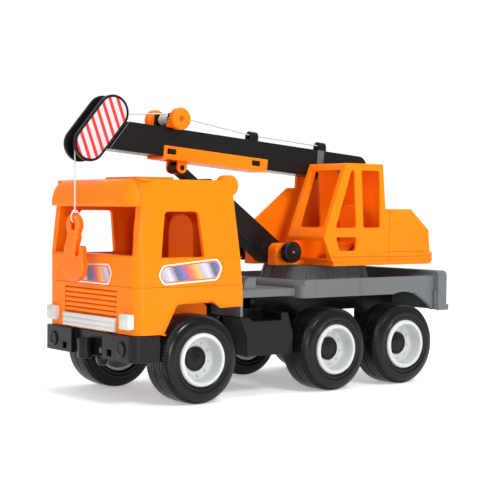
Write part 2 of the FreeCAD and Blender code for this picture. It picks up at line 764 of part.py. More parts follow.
def crane_cabin():
    """The operator's cabin: a hollow box with sloping front, open windows and an inner wall."""
    body = new_body("crane_cabin")
    slab(body, "YZ", "cabin", "cabin_inner_x", "cabin_outer_x")
    slab(body, "YZ", "cabin_inside", "cabin_inner_x + cabin_wall", "cabin_outer_x - cabin_wall",
         cut=True)
    for name in ("cabin_light_front", "cabin_light_rear", "cabin_light_low"):
        slab(body, "YZ", name, "cabin_outer_x - 10", "cabin_outer_x + 5", cut=True)
    slab(body, "YZ", "cabin_light_front", "cabin_inner_x - 4", "cabin_inner_x + 6", cut=True)
    block(body, "cabin_front_light", cut=True)
    slab(body, "XZ", "cabin_foot_light", "cabin_front_light_y_low",
         "cabin_front_light_y_low + cabin_foot_light_depth", cut=True)
    disc(body, "YZ", "boom_pivot_y", "boom_pivot_z", "boom_pin_radius", "cabin_inner_x - 4",
         "cabin_inner_x + 6", cut=True)
    disc(body, "XY", "0", "slew_centre_y", "collar_radius + running_gap", "upper_floor_z_high - 1",
         "collar_top + 0.4", cut=True)


def engine_hood():
    """The housing behind the cabin, hollow underneath."""
    body = new_body("engine_hood")
    slab(body, "YZ", "hood", "upper_floor_x_low", "upper_floor_x_high")
    slab(body, "YZ", "hood_inside", "upper_floor_x_low + hood_wall", "upper_floor_x_high - hood_wall",
         cut=True)
    block(body, "upper_floor", cut=True)


def upper_fittings():
    seat = new_body("operator_seat")
    block(seat, "operator_seat_base")
    block(seat, "operator_seat_back")
    round_edges(seat, "operator_seat_round", runs_along("y", z=(178,)))
    pin = cylinder("boom_pin_shank", "boom_pin_radius", "cabin_inner_x + cabin_wall - cheek_outer",
                   "cheek_outer", "boom_pivot_y", "boom_pivot_z", ACROSS)
    group("boom_pin", [pin])
    shank = cylinder("strut_pin_shank", "strut_pin_radius", "2 * strut_knob_inner", "-strut_knob_inner",
                     "strut_pivot_y", "strut_pivot_z", ACROSS)
    group("strut_pin", [shank])
    knobs = new_body("strut_knobs")
    for low, high in (
        ("strut_knob_inner", "strut_knob_outer"), ("-strut_knob_outer", "-strut_knob_inner")
    ):
        disc(knobs, "YZ", "strut_pivot_y", "strut_pivot_z", "strut_knob_radius", low, high)
    face = value("strut_knob_outer")
    round_edges(
        knobs, "strut_knob_round", lambda e: abs(abs(e.CenterOfMass.x) - face) < 0.5 and e.Length > 40
    )


# ---------------------------------------------------------------- boom, head and winch


def boom_outer():
    """The outer box section, hollow from its slanting front end, turning on the boom pin."""
    body = boom_body("boom_outer")
    slab(body, "YZ", "boom_side", "-boom_half_width", "boom_half_width")
    round_edges(body, "boom_end_round", runs_along("x", y=(41,)))
    block(body, "boom_hollow", cut=True)
    hole = "boom_pin_radius + running_gap"
    disc(body, "YZ", "0", "0", hole, "-boom_half_width - 1", "boom_half_width + 1", cut=True)


def boom_bracket():
    """The channel clipped under the boom, with windows for its latches and the strut's lugs."""
    body = boom_body("boom_bracket")
    block(body, "bracket_body")
    for low, high in (("lug_inner", "lug_outer"), ("-lug_outer", "-lug_inner")):
        disc(body, "YZ", "lug_pin_y", "lug_pin_z", "lug_radius", low, high)
        neck = [
            ("lug_pin_y - lug_radius", "lug_pin_z"), ("lug_pin_y + lug_radius", "lug_pin_z"),
            ("lug_pin_y + lug_radius", "bracket_body_z_low + 1.4"),
            ("lug_pin_y - lug_radius", "bracket_body_z_low + 1.4"),
        ]
        extrude(body, "YZ", low, high, lambda s, c=neck: draw_outline(s, c))
    for name in (
        "bracket_channel", "bracket_window_front", "bracket_window_rear", "bracket_strut_gap"
    ):
        block(body, name, cut=True)
    disc(body, "YZ", "lug_pin_y", "lug_pin_z", "lug_pin_radius", "-lug_outer - 1", "lug_outer + 1",
         cut=True)


def boom_trim():
    """Latches, winch posts, rope guides, strap and the pin in the strut's lugs."""
    latches = boom_body("bracket_latches")
    posts = boom_body("winch_posts")
    for mirrored in (False, True):
        block(latches, "latch_front", mirrored=mirrored)
        block(latches, "latch_rear", mirrored=mirrored)
        block(posts, "winch_post", mirrored=mirrored)
    hole = "winch_shaft_radius + running_gap"
    disc(posts, "YZ", "winch_y", "winch_z", hole, "-winch_post_x_high - 1", "winch_post_x_high + 1",
         cut=True)
    guides = boom_body("rope_guides")
    for centre in ("front_guide_y", "rear_guide_y"):
        block(guides, "guide_block", shift=("0", centre, "0"))
        disc(guides, "XZ", "0", "guide_block_z_high", "guide_block_x_high",
             f"{centre} + guide_block_y_low", f"{centre} + guide_block_y_high")
    for centre in ("front_guide_y", "rear_guide_y"):
        disc(guides, "XZ", "0", "guide_hole_z", "guide_hole_radius", f"{centre} - 6", f"{centre} + 6",
             cut=True)
    strap = boom_body("boom_strap")
    block(strap, "strap")
    pin = cylinder("lug_pin_shank", "lug_pin_radius", "2 * lug_outer", "-lug_outer", "lug_pin_y",
                   "lug_pin_z", ACROSS)
    group("strut_top_pin", [pin], "axle_line_y + boom_pivot_y", "boom_pivot_z", "boom_pitch")


def boom_inner():
    """The inner beam that slides out of the outer section and carries the head."""
    body = boom_body("boom_inner")
    block(body, "inner_beam")
    slab(body, "YZ", "seam_cut", "-boom_half_width", "boom_half_width", cut=True)
    block(body, "inner_neck")
    block(body, "inner_hollow", cut=True)


def head_plates():
    """Two long round-ended plates, one each side of the neck, with holes for the sheave's pin."""
    body = boom_body("head_plates")
    upper = (value("head_upper_y"), value("head_upper_z"))
    lower = (value("head_lower_y"), value("head_lower_z"))
    span = ((upper[0] - lower[0]) ** 2 + (upper[1] - lower[1]) ** 2) ** 0.5
    for low, high in (
        ("head_plate_inner", "head_plate_outer"), ("-head_plate_outer", "-head_plate_inner")
    ):
        across = "head_radius * (head_upper_z - head_lower_z) / %.6f" % span
        along = "head_radius * (head_upper_y - head_lower_y) / %.6f" % span
        corners = [
            (f"head_upper_y - {across}", f"head_upper_z + {along}"),
            (f"head_lower_y - {across}", f"head_lower_z + {along}"),
            (f"head_lower_y + {across}", f"head_lower_z - {along}"),
            (f"head_upper_y + {across}", f"head_upper_z - {along}"),
        ]
        extrude(body, "YZ", low, high, lambda s, c=corners: draw_outline(s, c))
        disc(body, "YZ", "head_upper_y", "head_upper_z", "head_radius", low, high)
        disc(body, "YZ", "head_lower_y", "head_lower_z", "head_radius", low, high)
    disc(body, "YZ", "sheave_y", "sheave_z", "sheave_pin_radius", "-head_plate_outer - 1",
         "head_plate_outer + 1", cut=True)


def head_fittings():
    """The sheave at the head's front, its pin, and the pin that the rope runs over."""
    where = ("axle_line_y + boom_pivot_y", "boom_pivot_z", "boom_pitch")
    pin = cylinder("sheave_pin_shank", "sheave_pin_radius", "2 * head_plate_outer",
                   "-head_plate_outer", "sheave_y", "sheave_z", ACROSS)
    bar = cylinder("guide_pin_shank", "guide_pin_radius", "2 * head_plate_inner", "-head_plate_inner",
                   "guide_pin_y", "guide_pin_z", ACROSS)
    group("head_pins", [pin, bar], *where)
    sheave = boom_body("head_sheave")
    disc(sheave, "YZ", "sheave_y", "sheave_z", "sheave_radius", "-sheave_half_width",
         "sheave_half_width")
    disc(sheave, "YZ", "sheave_y", "sheave_z", "sheave_pin_radius", "-sheave_half_width - 1",
         "sheave_half_width + 1", cut=True)


def winch():
    """The drum with its shaft between the posts, and a toothed knob at each end."""
    drum = boom_body("winch_drum")
    disc(drum, "YZ", "winch_y", "winch_z", "drum_radius", "-drum_half_length", "drum_half_length")
    disc(drum, "YZ", "winch_y", "winch_z", "winch_shaft_radius", "-knob_inner", "knob_inner")
    knobs = boom_body("winch_knobs")
    for low, high in (("knob_inner", "knob_outer"), ("-knob_outer", "-knob_inner")):
        disc(knobs, "YZ", "winch_y", "winch_z", "knob_radius", low, high)


# ---------------------------------------------------------------- strut


def strut():
    """A sleeve on the strut pin and a rod that slides in it up to the pin under the boom."""
    sleeve = strut_body("strut_sleeve")
    block(sleeve, "sleeve_body")
    round_edges(sleeve, "sleeve_round", runs_along("x", y=(-9,)))
    block(sleeve, "sleeve_hollow", cut=True)
    disc(sleeve, "YZ", "0", "0", "strut_pin_radius + running_gap", "sleeve_body_x_low - 1",
         "sleeve_body_x_high + 1", cut=True)
    rod = strut_body("strut_rod")
    block(rod, "rod_body")
    disc(rod, "YZ", "strut_length", "0", "strut_eye_outer", "-strut_rod_half", "strut_rod_half")
    disc(rod, "YZ", "strut_length", "0", "strut_eye_radius", "-strut_rod_half - 1",
         "strut_rod_half + 1", cut=True)


# ---------------------------------------------------------------- hook and rope


def arc_points(across, up, radius, first, last, steps):
    """Points along an arc from one angle to another, in degrees, as expressions."""
    turn = (last - first) / steps
    angles = [first + turn * k for k in range(steps + 1)]
    return [(f"{across} + {radius} * cos({a})", f"{up} + {radius} * sin({a})") for a in angles]


def hook():
    """The thick hook: a bored eye, a shank and a deep bowl whose tip stands beside the throat."""
    body = new_body("hook", "axle_line_y + hook_rope_y")
    body.Placement = FreeCAD.Placement(body.Placement.Base, FreeCAD.Rotation(UP, value("hook_turn")))
    bind(body, ".Placement.Rotation.Angle", "hook_turn")
    low, high = "-hook_half_thick", "hook_half_thick"
    bowl = arc_points("hook_bowl_across", "hook_bowl_up", "hook_bowl_radius", 180, 360, 12)
    eye = arc_points("0", "hook_eye_up", "hook_eye_radius", 0, 180, 10)
    rim = bowl + outline("hook_tip") + outline("hook_throat") + eye + outline("hook_shank")
    extrude(body, "XZ", low, high, lambda s: draw_outline(s, rim))
    disc(body, "XZ", "0", "hook_hole_up", "hook_eye_hole", low, high, cut=True)


def rope_solid(label, runs, where):
    """Straight runs of taut rope between pairs of points, in the boom's frame or the truck's."""
    pieces = []
    for number, (start, end) in enumerate(runs, 1):
        first = FreeCAD.Vector(*[value(c) for c in start])
        last = FreeCAD.Vector(*[value(c) for c in end])
        step = last.sub(first)
        run = cylinder(f"{label}_run_{number}", "rope_radius", f"{step.Length:.4f}", *start, step)
        pieces.append(run)
    group(label, pieces, *where)


def ropes():
    """The winch rope in four stretches: to the head, over it, down to the hook, and the tail."""
    boom = ("axle_line_y + boom_pivot_y", "boom_pivot_z", "boom_pitch")
    drum_top = "winch_z + drum_radius + rope_radius + 0.4"
    bar_top = "guide_pin_z + guide_pin_radius + rope_radius"
    run_end = ("0", "guide_pin_y + 1.5", f"{bar_top} + 0.3")
    rope_solid("rope_run", [(("0", "winch_y - 0.5", drum_top), run_end)], boom)
    sheave_front = "sheave_y - 1.5"
    sheave_top = "sheave_z + sheave_radius + rope_radius"
    rope_solid("rope_head", [(("0", "guide_pin_y", bar_top), ("0", sheave_front, sheave_top))], boom)
    rope_solid(
        "rope_tail",
        [
            (("0", "winch_y + 0.5", drum_top), ("0", "front_guide_y", "guide_hole_z")),
            (("0", "front_guide_y", "guide_hole_z"), ("0", "tail_rope_end_y", "guide_hole_z")),
        ],
        boom,
    )
    fall = (("0", "hook_rope_y", "rope_fall_low"), ("0", "hook_rope_y", "rope_fall_high"))
    rope_solid("rope_fall", [fall], ("axle_line_y",))


def check_and_export():
    """Refuse any failed object, then write one file for each sub-part."""
    doc.recompute()
    failed = [o.Name for o in doc.Objects if "Invalid" in o.State or "Error" in o.State]
    failed += [o.Label for o in made if o.Shape.isNull() or not o.Shape.isValid()]
    if failed:
        raise RuntimeError(f"these objects failed: {sorted(set(failed))}")
    os.makedirs("parts", exist_ok=True)
    for node in made:
        node.Shape.exportStep(f"parts/{node.Label}.step")
        print(f"{node.Label}: {node.Shape.Volume:.0f} mm3")


for axle_name, axle_place in AXLES.items():
    wheel_set(axle_name, axle_place)
for build in (
    chassis_frame, bumper, tow_peg, fog_lamps, cab_shell, cab_fittings, steering_wheel, deck,
    tail_board, pedestal, slew_pin, side_boxes, deck_screws, upper_base, cheek_plate, crane_cabin,
    engine_hood, upper_fittings, boom_outer, boom_bracket, boom_trim, boom_inner, head_plates,
    head_fittings, winch, strut, hook, ropes,
):
    build()
check_and_export()
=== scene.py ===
import json
import math

import bmesh
import bpy
from mathutils import Matrix, Vector


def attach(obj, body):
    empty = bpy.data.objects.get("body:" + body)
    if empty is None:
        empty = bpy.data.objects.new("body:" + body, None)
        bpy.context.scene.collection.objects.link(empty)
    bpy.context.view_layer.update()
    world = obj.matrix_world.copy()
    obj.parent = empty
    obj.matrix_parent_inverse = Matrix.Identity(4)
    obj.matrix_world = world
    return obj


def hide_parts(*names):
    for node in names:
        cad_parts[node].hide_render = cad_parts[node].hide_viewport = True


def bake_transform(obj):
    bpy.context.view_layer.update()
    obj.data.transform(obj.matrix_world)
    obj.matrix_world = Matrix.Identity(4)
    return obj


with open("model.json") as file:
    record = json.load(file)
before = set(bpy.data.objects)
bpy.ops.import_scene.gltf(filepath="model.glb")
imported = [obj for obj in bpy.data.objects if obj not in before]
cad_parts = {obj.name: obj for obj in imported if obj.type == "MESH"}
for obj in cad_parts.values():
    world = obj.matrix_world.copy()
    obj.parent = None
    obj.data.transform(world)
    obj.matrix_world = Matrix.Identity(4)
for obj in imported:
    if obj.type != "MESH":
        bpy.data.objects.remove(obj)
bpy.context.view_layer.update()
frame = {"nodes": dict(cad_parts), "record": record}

# Sizes are in millimetres, measured in the truck from the front axle (y to the rear), from the middle
# plane (x to the left) and from the ground (z). Boom and strut have frames of their own.
MM = 0.001
AXLE_LINE = -0.1065
SLEW_CENTRE_Y = 200
BOOM_PIVOT = (218, 211)
BOOM_PITCH = -4.85
STRUT_PIVOT = (139, 131.5)
ROPE_LINE_Y = -80
FALL_TOP, FALL_END = 236.4, 168.2
WINCH_Y, WINCH_Z = -202.4, 28.4
SIDES = ((1, "left"), (-1, "right"))
NODES = frame["nodes"]
BODY_OF = {
    node: body
    for body, nodes in frame["record"]["behaviour"]["bodies"].items()
    for node in nodes
}
SCENE = bpy.context.scene


def at(x, y, z):
    """A point of the truck, in millimetres with y from the front axle, in the row frame."""
    return Vector((x * MM, y * MM + AXLE_LINE, z * MM))


def place(x=0, y=0, z=0, turn=0, axis="X"):
    """A frame at a point of the truck, turned about one axis, whose units are millimetres."""
    spin = Matrix.Rotation(math.radians(turn), 4, axis)
    return Matrix.Translation(at(x, y, z)) @ spin @ Matrix.Scale(MM, 4)


def levels(side, near, far):
    """Two distances from the middle plane, on one side, as a low and a high x."""
    return sorted((side * near, side * far))


TRUCK = place()
BOOM = place(0, *BOOM_PIVOT, BOOM_PITCH)


# ---------------------------------------------------------------- materials


class Shader:
    """A material's node tree, built a node at a time."""

    def __init__(self, name):
        self.material = bpy.data.materials.new(name)
        self.material.use_nodes = True
        self.tree = self.material.node_tree
        self.surface = self.tree.nodes["Principled BSDF"]

    def node(self, kind, **inputs):
        made = self.tree.nodes.new("ShaderNode" + kind)
        for name, value in inputs.items():
            self.put(made, name, value)
        return made

    def put(self, node, name, value):
        """Link or set an input, given by its name or, as i0, i1 and so on, by its place."""
        by_place = name[:1] == "i" and name[1:].isdigit()
        socket = node.inputs[int(name[1:]) if by_place else name]
        if isinstance(value, bpy.types.NodeSocket):
            self.tree.links.new(value, socket)
        elif hasattr(value, "outputs"):
            self.tree.links.new(value.outputs[0], socket)
        else:
            socket.default_value = value

    def coordinates(self):
        return self.node("TexCoord").outputs["Object"]

    def noise(self, scale, detail=3.0, roughness=0.55):
        where = self.coordinates()
        made = self.node("TexNoise", Vector=where, Scale=scale, Detail=detail, Roughness=roughness)
        return made.outputs["Fac"]

    def ramp(self, fac, low, high, first=(0, 0, 0, 1), last=(1, 1, 1, 1)):
        made = self.node("ValToRGB", Fac=fac)
        made.color_ramp.elements[0].position = low
        made.color_ramp.elements[0].color = first
        made.color_ramp.elements[1].position = high
        made.color_ramp.elements[1].color = last
        return made.outputs["Color"]

    def math(self, operation, a, b=0.0, c=0.0):
        made = self.node("Math", i0=a, i1=b, i2=c)
        made.operation = operation
        return made.outputs[0]

    def mix(self, fac, a, b):
        made = self.tree.nodes.new("ShaderNodeMix")
        made.data_type = "RGBA"
        self.put(made, "i0", fac)
        self.put(made, "i6", a)
        self.put(made, "i7", b)
        return made.outputs[2]

    def axes(self):
        split = self.node("SeparateXYZ", Vector=self.coordinates())
        return split.outputs["X"], split.outputs["Y"], split.outputs["Z"]

    def bump(self, height, distance, strength=1.0, normal=None):
        made = self.node("Bump", Height=height, Distance=distance, Strength=strength)
        if normal is not None:
            self.put(made, "Normal", normal)
        return made.outputs["Normal"]


def shade(colour, factor):
    return tuple(min(1.0, c * factor) for c in colour[:3]) + (1.0,)


def plastic(name, colour, rough, grain, wear=0.08, edge=0.0004, subsurface=0.0, shine=0.3):
    """Moulded plastic: flow marks in the colour, handling wear in the gloss, grain and rounded edges."""
    sh = Shader(name)
    flow = sh.noise(9.0, 4.0)
    toned = sh.mix(sh.ramp(flow, 0.3, 0.72), shade(colour, 0.93), shade(colour, 1.05))
    specks = sh.ramp(sh.noise(900.0, 2.0), 0.66, 0.74)
    dusty = sh.mix(sh.math("MULTIPLY", specks, 0.035), toned, (0.75, 0.73, 0.7, 1))
    sh.put(sh.surface, "Base Color", dusty)
    smears = sh.ramp(sh.noise(38.0, 6.0, 0.65), 0.35, 0.7)
    sh.put(sh.surface, "Roughness", sh.math("MULTIPLY_ADD", smears, wear, rough))
    rounded = sh.node("Bevel", Radius=edge)
    rounded.samples = 6
    waves = sh.bump(sh.noise(30.0, 1.0), 0.00035, 0.35, rounded.outputs["Normal"])
    fine = sh.bump(sh.noise(2600.0, 2.0), 0.00003, grain, waves)
    sh.put(sh.surface, "Normal", fine)
    sh.put(sh.surface, "IOR", 1.49)
    sh.put(sh.surface, "Specular IOR Level", shine)
    if subsurface:
        sh.put(sh.surface, "Subsurface Weight", subsurface)
        sh.put(sh.surface, "Subsurface Radius", (0.007, 0.0024, 0.0007))
        sh.put(sh.surface, "Subsurface Scale", 1.0)
    return sh.material


def striped(name, ground, paint, pitch, share, slope):
    """A printed label: slanting stripes of two colours with slightly soft, uneven edges."""
    sh = Shader(name)
    _, y, z = sh.axes()
    across = sh.math("MULTIPLY_ADD", z, slope, y)
    ragged = sh.math("MULTIPLY_ADD", sh.noise(700.0, 2.0), 0.00025, across)
    phase = sh.math("FRACT", sh.math("MULTIPLY", ragged, 1.0 / pitch))
    band = sh.ramp(phase, share - 0.015, share + 0.015)
    ink = sh.mix(sh.ramp(sh.noise(1300.0, 3.0), 0.25, 0.6), shade(paint, 0.9), shade(paint, 1.06))
    paper = sh.mix(sh.ramp(sh.noise(60.0, 4.0), 0.3, 0.7), shade(ground, 0.94), shade(ground, 1.03))
    sh.put(sh.surface, "Base Color", sh.mix(band, ink, paper))
    gloss = sh.ramp(sh.noise(45.0, 5.0), 0.3, 0.75)
    sh.put(sh.surface, "Roughness", sh.math("MULTIPLY_ADD", gloss, 0.1, 0.3))
    sh.put(sh.surface, "Normal", sh.bump(sh.noise(1800.0), 0.00003, 0.4))
    return sh.material


ORANGE = (1.0, 0.194, 0.003, 1)
M_ORANGE = plastic("orange moulded plastic", ORANGE, 0.3, 0.25, subsurface=0.3, shine=0.11)
M_HOOK = plastic(
    "orange hook plastic", (0.97, 0.15, 0.006, 1), 0.24, 0.35, subsurface=0.2, shine=0.4
)
M_BLACK = plastic(
    "black moulded plastic", (0.0065, 0.0055, 0.006, 1), 0.22, 0.4, 0.1, shine=0.2
)
M_TYRE = plastic(
    "tyre plastic", (0.0035, 0.0033, 0.0036, 1), 0.17, 0.35, 0.08, 0.0003, shine=0.24
)
M_GREY = plastic("grey deck plastic", (0.114, 0.126, 0.136, 1), 0.43, 0.5, 0.1, shine=0.22)
M_STRAP = plastic("grey strap plastic", (0.1, 0.108, 0.118, 1), 0.4, 0.5, 0.1)
M_RIM = plastic("light grey rim plastic", (0.5, 0.52, 0.515, 1), 0.3, 0.35, 0.1)
M_WHITE = plastic("white moulded plastic", (0.6, 0.59, 0.575, 1), 0.3, 0.3, 0.08)
M_LENS = plastic("grey lens plastic", (0.5, 0.5, 0.5, 1), 0.2, 0.2, 0.06)
M_STEEL = plastic("steel pin", (0.5, 0.49, 0.48, 1), 0.3, 0.8, 0.15)
M_STEEL.node_tree.nodes["Principled BSDF"].inputs["Metallic"].default_value = 1.0
M_SEAM = plastic("orange plastic in a joint's shade", (0.42, 0.07, 0.004, 1), 0.5, 0.4)
M_PAPER = plastic("white label paper", (0.7, 0.69, 0.68, 1), 0.35, 0.2, 0.06, 0.0001)
M_HEAD_STRIPES = striped(
    "white plate with red stripes", (0.52, 0.52, 0.57, 1), (0.6, 0.022, 0.013, 1), 0.0082, 0.43, 0.37
)


def printed():
    """The labels' print: slanting bands of lilac, slate, blue, red and amber inside an orange edge."""
    sh = Shader("abstract label print")
    x, y, z = sh.axes()
    flat = sh.math("ADD", x, y)
    slant = sh.math("MULTIPLY_ADD", z, 0.55, flat)
    torn = sh.math("MULTIPLY_ADD", sh.noise(260.0, 4.0), 0.004, slant)
    repeat = sh.math("FRACT", sh.math("MULTIPLY", torn, 24.0))
    bands = sh.ramp(repeat, 0.0, 0.95, (0.3, 0.27, 0.4, 1), (0.75, 0.36, 0.03, 1))
    colours = bands.node.color_ramp
    for spot, colour in (
        (0.2, (0.5, 0.47, 0.58, 1)), (0.36, (0.03, 0.03, 0.055, 1)), (0.52, (0.02, 0.08, 0.36, 1)),
        (0.66, (0.48, 0.015, 0.04, 1)), (0.8, (0.72, 0.12, 0.01, 1)),
    ):
        colours.elements.new(spot).color = colour
    bright = sh.ramp(sh.noise(900.0, 3.0), 0.3, 0.7)
    faded = sh.mix(sh.math("MULTIPLY", bright, 0.18), bands, (0.8, 0.78, 0.8, 1))
    sh.put(sh.surface, "Base Color", faded)
    gloss = sh.ramp(sh.noise(60.0, 5.0), 0.3, 0.75)
    sh.put(sh.surface, "Roughness", sh.math("MULTIPLY_ADD", gloss, 0.1, 0.26))
    sh.put(sh.surface, "Normal", sh.bump(sh.noise(1500.0), 0.00002, 0.4))
    return sh.material


M_PRINT = printed()


def woven():
    """Two-ply cord: fibres that run round the strands, with fuzz in the colour and the gloss."""
    sh = Shader("twisted cord")
    x, y, z = sh.axes()
    around = sh.math("MULTIPLY", x, 2600.0)
    turns = sh.math("SINE", sh.math("MULTIPLY_ADD", sh.math("ADD", z, y), 5200.0, around))
    fibre = sh.math("MULTIPLY_ADD", turns, 0.5, 0.5)
    fuzz = sh.noise(2400.0, 3.0)
    worn = sh.mix(sh.ramp(fuzz, 0.3, 0.7), (0.5, 0.46, 0.45, 1), (0.74, 0.7, 0.69, 1))
    strands = sh.mix(sh.math("MULTIPLY", fibre, 0.35), worn, (0.36, 0.33, 0.32, 1))
    sh.put(sh.surface, "Base Color", strands)
    sh.put(sh.surface, "Roughness", sh.math("MULTIPLY_ADD", fuzz, 0.2, 0.7))
    sh.put(sh.surface, "Normal", sh.bump(sh.math("ADD", fibre, fuzz), 0.00008, 0.6))
    return sh.material


M_ROPE = woven()

SLOT_LOOK = {
    "orange_plastic": M_ORANGE, "black_plastic": M_BLACK, "grey_plastic": M_GREY, "rim_plastic": M_RIM,
    "tyre_plastic": M_TYRE, "white_plastic": M_WHITE, "axle_steel": M_STEEL, "rope_cord": M_ROPE,
}
NODE_SLOT = {piece["node"]: piece["material_slot"] for piece in frame["record"]["subparts"]}


# ---------------------------------------------------------------- mesh helpers

ROPE_STRANDS, ROPE_TWIST, ROPE_RELIEF = 3, 1.9, 0.22


def shaded(mesh, angle=34):
    """Smooth shading that stays crisp at edges sharper than the angle."""
    mesh.polygons.foreach_set("use_smooth", [True] * len(mesh.polygons))
    mesh.set_sharp_from_angle(angle=math.radians(angle))


def linked(name, mesh, material, body, nodes=()):
    """A finished piece: its material, the body that it rides on and the CAD nodes that it stands for."""
    obj = bpy.data.objects.new(name, mesh)
    SCENE.collection.objects.link(obj)
    mesh.materials.clear()
    mesh.materials.append(material)
    if body:
        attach(obj, body)
    if nodes:
        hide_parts(*nodes)
    return obj


def build(name, bm, frame_matrix, material, body, nodes=(), angle=34):
    """A piece from a bmesh whose coordinates are in the given frame."""
    bmesh.ops.recalc_face_normals(bm, faces=bm.faces)
    mesh = bpy.data.meshes.new(name)
    bm.to_mesh(mesh)
    bm.free()
    mesh.transform(frame_matrix)
    shaded(mesh, angle)
    return linked(name, mesh, material, body, nodes)


def rounded_off(bm, edges, width, segments=2, clamped=True):
    """Replace the edges by small round faces."""
    bmesh.ops.bevel(
        bm, geom=edges, offset=width, offset_type="OFFSET", segments=segments,
        profile=0.5, affect="EDGES", clamp_overlap=clamped,
    )


def bevelled(bm, width):
    """Round the bmesh's edges that are sharper than 30 degrees."""
    sharp = [
        e for e in bm.edges if len(e.link_faces) == 2 and e.calc_face_angle(0) > math.radians(30)
    ]
    if sharp:
        rounded_off(bm, sharp, width)


def turned_mesh(bm, profile, turn_frame, count=72, shape=None):
    """Add the profile of (height, radius) pairs, turned about the frame's Z axis.

    shape may move each point.
    """
    rings = []
    for height, radius in profile:
        if radius < 1e-6:
            rings.append([bm.verts.new(turn_frame @ Vector((0, 0, height)))])
            continue
        ring = []
        for k in range(count):
            h, r = shape(height, radius, k) if shape else (height, radius)
            angle = 2 * math.pi * k / count
            point = Vector((r * math.cos(angle), r * math.sin(angle), h))
            ring.append(bm.verts.new(turn_frame @ point))
        rings.append(ring)
    for first, second in zip(rings, rings[1:]):
        for k in range(count):
            n = (k + 1) % count
            if len(first) == 1 and len(second) == 1:
                continue
            if len(first) == 1:
                bm.faces.new((first[0], second[n], second[k]))
            elif len(second) == 1:
                bm.faces.new((first[k], first[n], second[0]))
            else:
                bm.faces.new((first[k], first[n], second[n], second[k]))
    return rings


def box_mesh(bm, low, high, width):
    """Add a box with rounded edges between two corners."""
    made = bmesh.ops.create_cube(bm, size=1.0)["verts"]
    for v in made:
        v.co = Vector([low[i] + (v.co[i] + 0.5) * (high[i] - low[i]) for i in range(3)])
    rounded_off(bm, list({e for v in made for e in v.link_edges}), width)


def sweep_mesh(bm, points, radius, sides, closed=False, strands=False):
    """Add a tube along points, or, with strands, a rope whose three strands wind along it."""
    points = [Vector(p) for p in points]
    count = len(points)
    rings = []
    normal = None
    run = 0.0
    for i, point in enumerate(points):
        ahead = points[(i + 1) % count] if closed or i + 1 < count else point
        behind = points[i - 1] if closed or i else point
        direction = (ahead - behind).normalized()
        if normal is None:
            normal = direction.orthogonal().normalized()
        normal = (normal - direction * normal.dot(direction)).normalized()
        other = direction.cross(normal)
        if i:
            run += (point - points[i - 1]).length
        ring = []
        for k in range(sides):
            angle = 2 * math.pi * k / sides
            out = normal * math.cos(angle) + other * math.sin(angle)
            r = radius
            if strands:
                bulge = abs(math.cos(ROPE_STRANDS / 2 * angle - ROPE_TWIST * run))
                r = radius * (1 - ROPE_RELIEF + ROPE_RELIEF * bulge)
            ring.append(bm.verts.new(point + out * r))
        rings.append(ring)
    following = rings[1:] + rings[:1] if closed else rings[1:]
    for first, second in zip(rings, following):
        for k in range(sides):
            n = (k + 1) % sides
            bm.faces.new((first[k], first[n], second[n], second[k]))
    if not closed:
        bm.faces.new(rings[0][::-1])
        bm.faces.new(rings[-1])


def plate_mesh(bm, outline, plane, low, high):
    """Add a plate: an outline in the plane of two axes, from one level to another along the third."""
    order = {"XY": (0, 1, 2), "YZ": (1, 2, 0), "XZ": (0, 2, 1)}[plane]

    def corner(a, b, level):
        point = [0.0, 0.0, 0.0]
        point[order[0]], point[order[1]], point[order[2]] = a, b, level
        return bm.verts.new(point)

    bottom = [corner(a, b, low) for a, b in outline]
    top = [corner(a, b, high) for a, b in outline]
    bm.faces.new(bottom)
    bm.faces.new(top)
    for i in range(len(outline)):
        n = (i + 1) % len(outline)
        bm.faces.new((bottom[i], bottom[n], top[n], top[i]))


def rounded_outline(points, radius, steps):
    """The outline with each corner replaced by a short curve."""
    out = []
    count = len(points)
    for i in range(count):
        p = Vector(points[i])
        before, after = Vector(points[i - 1]), Vector(points[(i + 1) % count])
        cut = min(radius, (before - p).length * 0.45, (after - p).length * 0.45)
        a = p + (before - p).normalized() * cut
        b = p + (after - p).normalized() * cut
        for k in range(steps + 1):
            t = k / steps
            out.append(tuple(a * (1 - t) ** 2 + p * 2 * t * (1 - t) + b * t * t))
    return out


def arc(across, up, radius, first, last, steps):
    """Points along an arc from one angle to another, in degrees."""
    angles = [math.radians(first + (last - first) * k / steps) for k in range(steps + 1)]
    return [(across + radius * math.cos(a), up + radius * math.sin(a)) for a in angles]


def truck_mm(point):
    """A point of the row frame in the truck's millimetres, with y from the front axle."""
    return Vector((point.x, point.y - AXLE_LINE, point.z)) / MM


def soften(bm, axis, spots, radius, steps=4):
    """Round the straight edges along an axis whose other two coordinates, in millimetres, are given."""
    others = [i for i in range(3) if i != axis]

    def near(middle, spot):
        return all(abs(middle[o] - value) < 1.2 for o, value in zip(others, spot))

    chosen = []
    for e in bm.edges:
        a, b = (truck_mm(v.co) for v in e.verts)
        step = b - a
        slanting = abs(step[axis]) < 0.8 * step.length
        if len(e.link_faces) != 2 or slanting or e.calc_face_angle(0) < 0.4:
            continue
        if any(near((a + b) / 2, spot) for spot in spots):
            chosen.append(e)
    if chosen:
        rounded_off(bm, chosen, radius * MM, steps, clamped=False)


def cab_form(bm):
    """The cab with rounded window corners and its forehead drawn in behind the visor."""
    for v in bm.verts:
        point = truck_mm(v.co)
        if point.y < -66 and point.z > 174:
            v.co = at(point.x * 0.97, -57.5, point.z)
    door = [(-39, 130.5), (7.5, 130.5), (2.5, 171), (-33.5, 171)]
    soften(bm, 0, door, 3.5)


